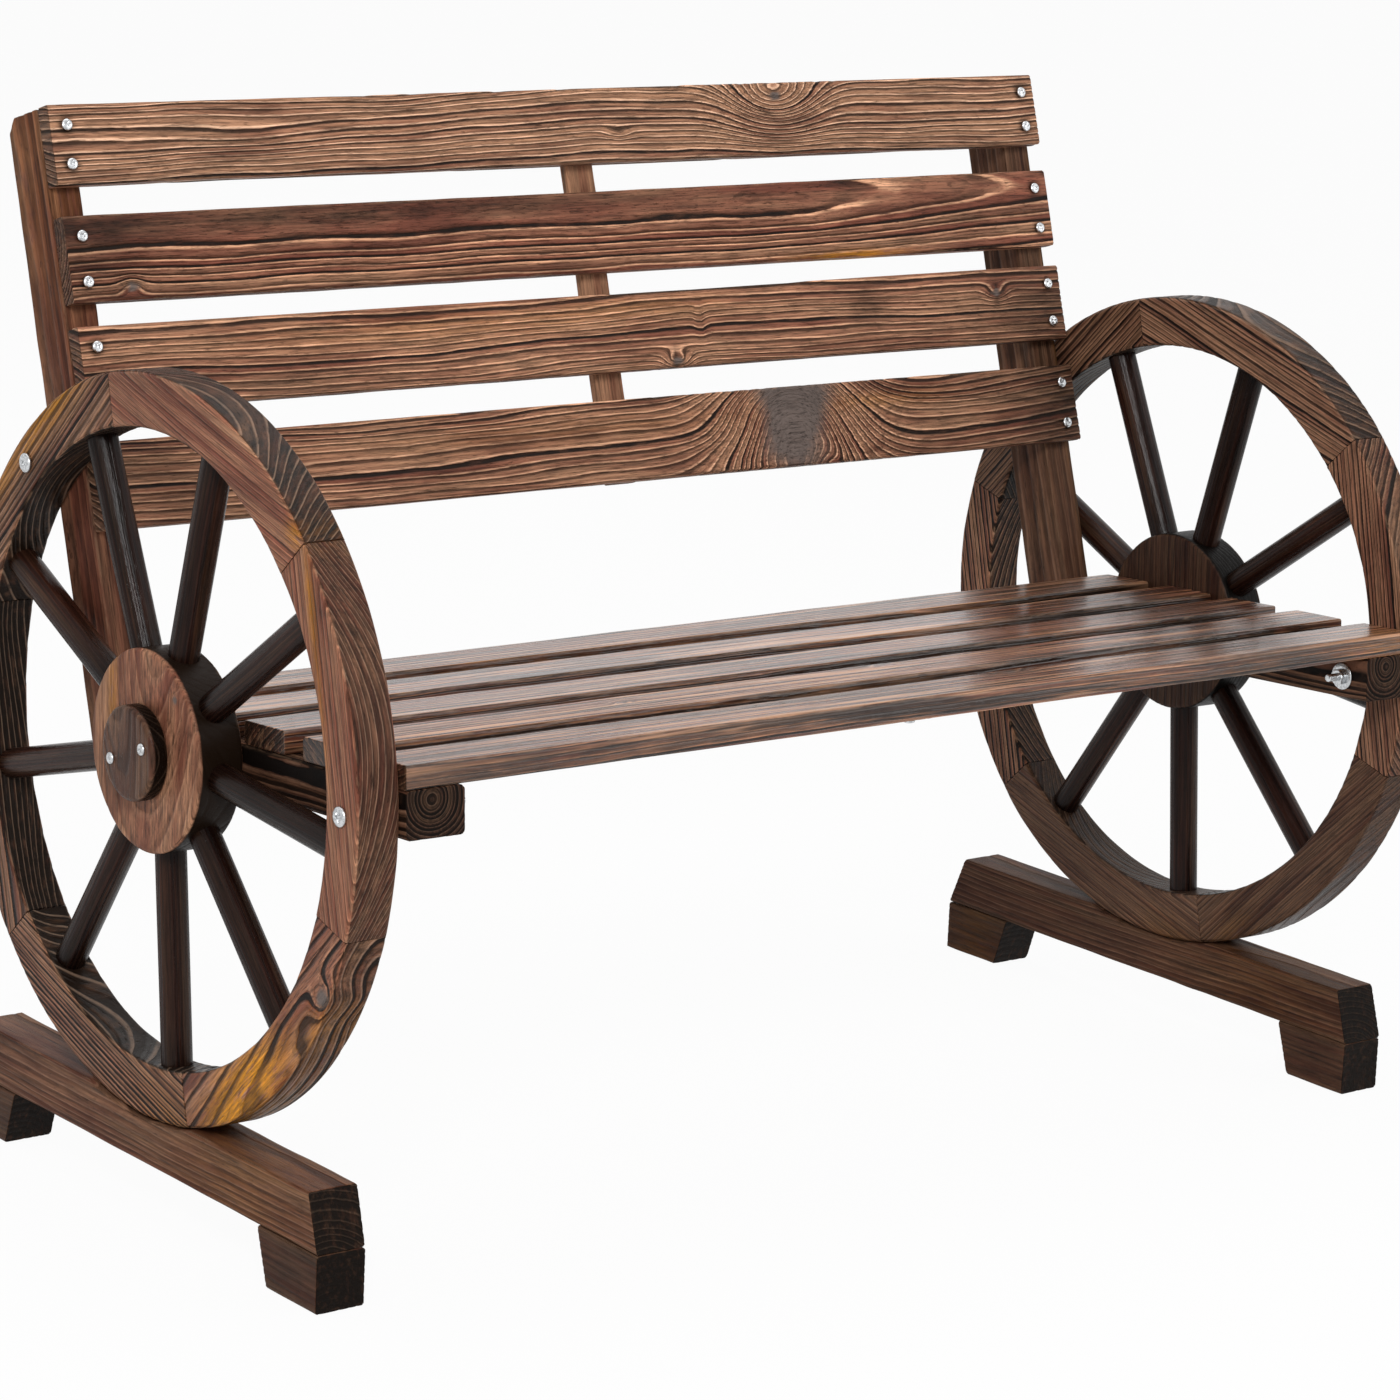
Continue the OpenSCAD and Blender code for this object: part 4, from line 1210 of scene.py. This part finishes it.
class BENCH_OT_bolts(Build):
    """The four bolts through the rims, with their washers and nuts"""

    bl_idname = "bench.bolts"
    bl_label = "Bolts, washers and nuts"

    def build(self):
        kinds = {"wheel_bolts": self.bolt, "bolt_washers": self.washer, "bolt_nuts": self.nut}
        for node, make in kinds.items():
            parts = []
            for solid in solids(node):
                low, high = solid.min(0), solid.max(0)
                middle = (low + high) / 2
                sign = math.copysign(1, low[0])
                aside = np.hypot(solid[:, 1] - middle[1], solid[:, 2] - middle[2])
                points, quads = make(high[0] - low[0], aside, np.abs(solid[:, 0]))
                middle[0] = low[0] if sign > 0 else high[0]
                parts.append((facing((sign, 0, 0), 0.4 + len(parts), middle).bench(points), quads))
            put_zinc(node, parts)

    def bolt(self, length, aside, out):
        """Its shank from x = 0 outwards, and its head at the far end."""
        pitch = shapes().thread_pitch * METRE
        head_radius = aside.max()
        head_height = out.max() - out[aside > 0.9 * head_radius].min()
        radius = np.median(aside[out < out.max() - 2 * head_height])
        shank = length - head_height

        def thread(along, turn):
            cut = 1 - ramp(along + length / 2, 32, 34)
            return 1 - 0.09 * cut * thread_valley(along, turn, pitch)

        shaft, quads = round_bar(shank, radius, 0.3, 0.5, thread, 6)
        shaft[:, 0] += shank / 2
        head, more = head_mesh(head_radius, head_height, 0.5 * head_height)
        head[:, 0] += shank
        return join([(shaft, quads), (head, more)])

    def washer(self, height, aside, out):
        """A flat ring from x = 0 to height with softened edges."""
        inner, outer, around = aside.min(), aside.max(), 40
        soft = 0.25 * height
        loop = np.array([(soft, inner), (0, inner + soft), (0, outer - soft), (soft, outer),
                         (height - soft, outer), (height, outer - soft), (height, inner + soft),
                         (height - soft, inner)])
        turn = np.arange(around) * 2 * math.pi / around
        points = np.stack([np.tile(loop[:, 0], (around, 1)), np.outer(np.cos(turn), loop[:, 1]),
                           np.outer(np.sin(turn), loop[:, 1])], -1).reshape(-1, 3)
        ids = np.arange(len(points)).reshape(around, -1)
        ahead, beside = np.roll(ids, -1, 0), np.roll(ids, -1, 1)
        quads = np.stack([ids, beside, np.roll(beside, -1, 0), ahead], -1)
        return points, quads.reshape(-1, 4)

    def nut(self, height, aside, out):
        """A hexagon nut from x = 0 to height with its corners turned down."""
        half_flats = aside.max() * math.cos(math.pi / 6)
        disc, turned, angle, quads = round_grid(lines(height, 0.6, close=(0.3, 0.7)), 12)
        face = (angle + math.pi / 6) % (math.pi / 3) - math.pi / 6
        inside = height / 2 - np.abs(disc[:, 0])
        corner = half_flats * (1.0 + 0.9 * (0.12 + inside) / height)
        radius = np.minimum(turned * half_flats / np.cos(face), corner)
        return about_axis(disc[:, 0] + height / 2, radius, angle), quads


class BENCH_OT_dowels(Build):
    """Bare wood for the dowels that lie inside the rims"""

    bl_idname = "bench.dowels"
    bl_label = "Rim dowels"

    def build(self):
        for side in SIDES:
            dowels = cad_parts[side + "_felloe_dowels"]
            for slot in dowels.material_slots:
                slot.material = finish_of("plain_wood")
            if not dowels.material_slots:
                raise RuntimeError("The dowels have no slot for their finish")


class BENCH_OT_studio(Build):
    """The pale floor, the soft lights, the white surroundings and the camera"""

    bl_idname = "bench.studio"
    bl_label = "Studio"

    def build(self):
        scene = bpy.context.scene
        self.floor()
        self.surroundings(scene)
        self.lights(scene.bench_studio)
        self.camera(scene)
        scene.view_settings.view_transform = "Standard"

    def floor(self):
        reach = 20.0
        mesh = bpy.data.meshes.new("floor")
        mesh.from_pydata([(-reach, -reach, 0), (reach, -reach, 0), (reach, reach, 0),
                          (-reach, reach, 0)], [], [(0, 1, 2, 3)])
        floor = bpy.data.objects.new("floor", mesh)
        bpy.context.scene.collection.objects.link(floor)
        g = Graph(bpy.data.materials.new("pale_floor"))
        matt = g.add("ShaderNodeBsdfDiffuse", {"Color": (0.82, 0.82, 0.82, 1)})
        white = g.add("ShaderNodeEmission", {"Color": (1, 1, 1, 1), "Strength": 1.0})
        mesh.materials.append(g.finish(g.add("ShaderNodeMixShader", {
            0: g.times(g.seen(), 0.95), 1: matt, 2: white})))

    def surroundings(self, scene):
        g = Graph(bpy.data.worlds.new("white_surroundings"))
        strength = g.add("ShaderNodeMapRange", {"Value": g.seen(), "To Min": scene.bench_studio.sky,
                                                "To Max": 1.0})
        back = g.add("ShaderNodeBackground", {"Color": (1, 1, 1, 1), "Strength": strength})
        scene.world = g.finish(back, "ShaderNodeOutputWorld")

    def lights(self, studio):
        panels = {"key": (studio.key_power, (-2.6, -3.2, 2.9), 1.1),
                  "fill": (studio.fill_power, (2.8, -3.0, 1.6), 2.2),
                  "top": (studio.top_power, (0.2, 0.6, 3.6), 2.6)}
        for name, (power, place, width) in panels.items():
            light = bpy.data.lights.new(name, "AREA")
            light.energy = power
            light.size = width
            lamp = bpy.data.objects.new(name, light)
            lamp.location = place
            ahead = Vector(BENCH_MIDDLE) - Vector(place)
            lamp.rotation_euler = ahead.to_track_quat("-Z", "Y").to_euler()
            bpy.context.scene.collection.objects.link(lamp)

    def camera(self, scene):
        studio = scene.bench_studio
        yaw, pitch, roll = studio.aim
        ahead = Vector((math.sin(yaw) * math.cos(pitch), math.cos(yaw) * math.cos(pitch),
                        -math.sin(pitch)))
        level = Vector((math.cos(yaw), -math.sin(yaw), 0))
        upright = level.cross(ahead)
        right = level * math.cos(roll) + upright * math.sin(roll)
        up = upright * math.cos(roll) - level * math.sin(roll)
        lens = bpy.data.cameras.new("camera")
        lens.lens = studio.lens
        lens.sensor_width = 36
        camera = bpy.data.objects.new("camera", lens)
        turn = Matrix((right, up, -ahead)).transposed().to_4x4()
        camera.matrix_world = Matrix.Translation(Vector(studio.eye)) @ turn
        scene.collection.objects.link(camera)
        scene.camera = camera


class BENCH_PT_panel(bpy.types.Panel):
    """Buttons for the bench's pieces"""

    bl_idname = "BENCH_PT_panel"
    bl_label = "Wagon wheel bench"
    bl_space_type = "VIEW_3D"
    bl_region_type = "UI"
    bl_category = "Bench"

    def draw(self, context):
        for operator in OPERATORS:
            self.layout.operator(operator.bl_idname)
        for group, kind in GROUPS.items():
            box = self.layout.box()
            for name in kind.__annotations__:
                box.prop(getattr(context.scene, group), name)


OPERATORS = (
    BENCH_OT_studio, BENCH_OT_back_slats, BENCH_OT_seat_slats, BENCH_OT_battens, BENCH_OT_rails,
    BENCH_OT_posts, BENCH_OT_rims, BENCH_OT_spokes, BENCH_OT_hubs, BENCH_OT_feet, BENCH_OT_screws,
    BENCH_OT_bolts, BENCH_OT_dowels,
)
GROUPS = {"bench_stains": BenchStains, "bench_shapes": BenchShapes, "bench_studio": BenchStudio}


def register():
    for group in GROUPS.values():
        bpy.utils.register_class(group)
    for name, group in GROUPS.items():
        setattr(bpy.types.Scene, name, PointerProperty(type=group))
    for operator in OPERATORS:
        bpy.utils.register_class(operator)
    bpy.utils.register_class(BENCH_PT_panel)


def unregister():
    bpy.utils.unregister_class(BENCH_PT_panel)
    for operator in reversed(OPERATORS):
        bpy.utils.unregister_class(operator)
    for name, group in GROUPS.items():
        delattr(bpy.types.Scene, name)
        bpy.utils.unregister_class(group)


def main():
    register()
    for operator in OPERATORS:
        getattr(bpy.ops.bench, operator.bl_idname.partition(".")[2])()


if __name__ == "__main__":
    main()
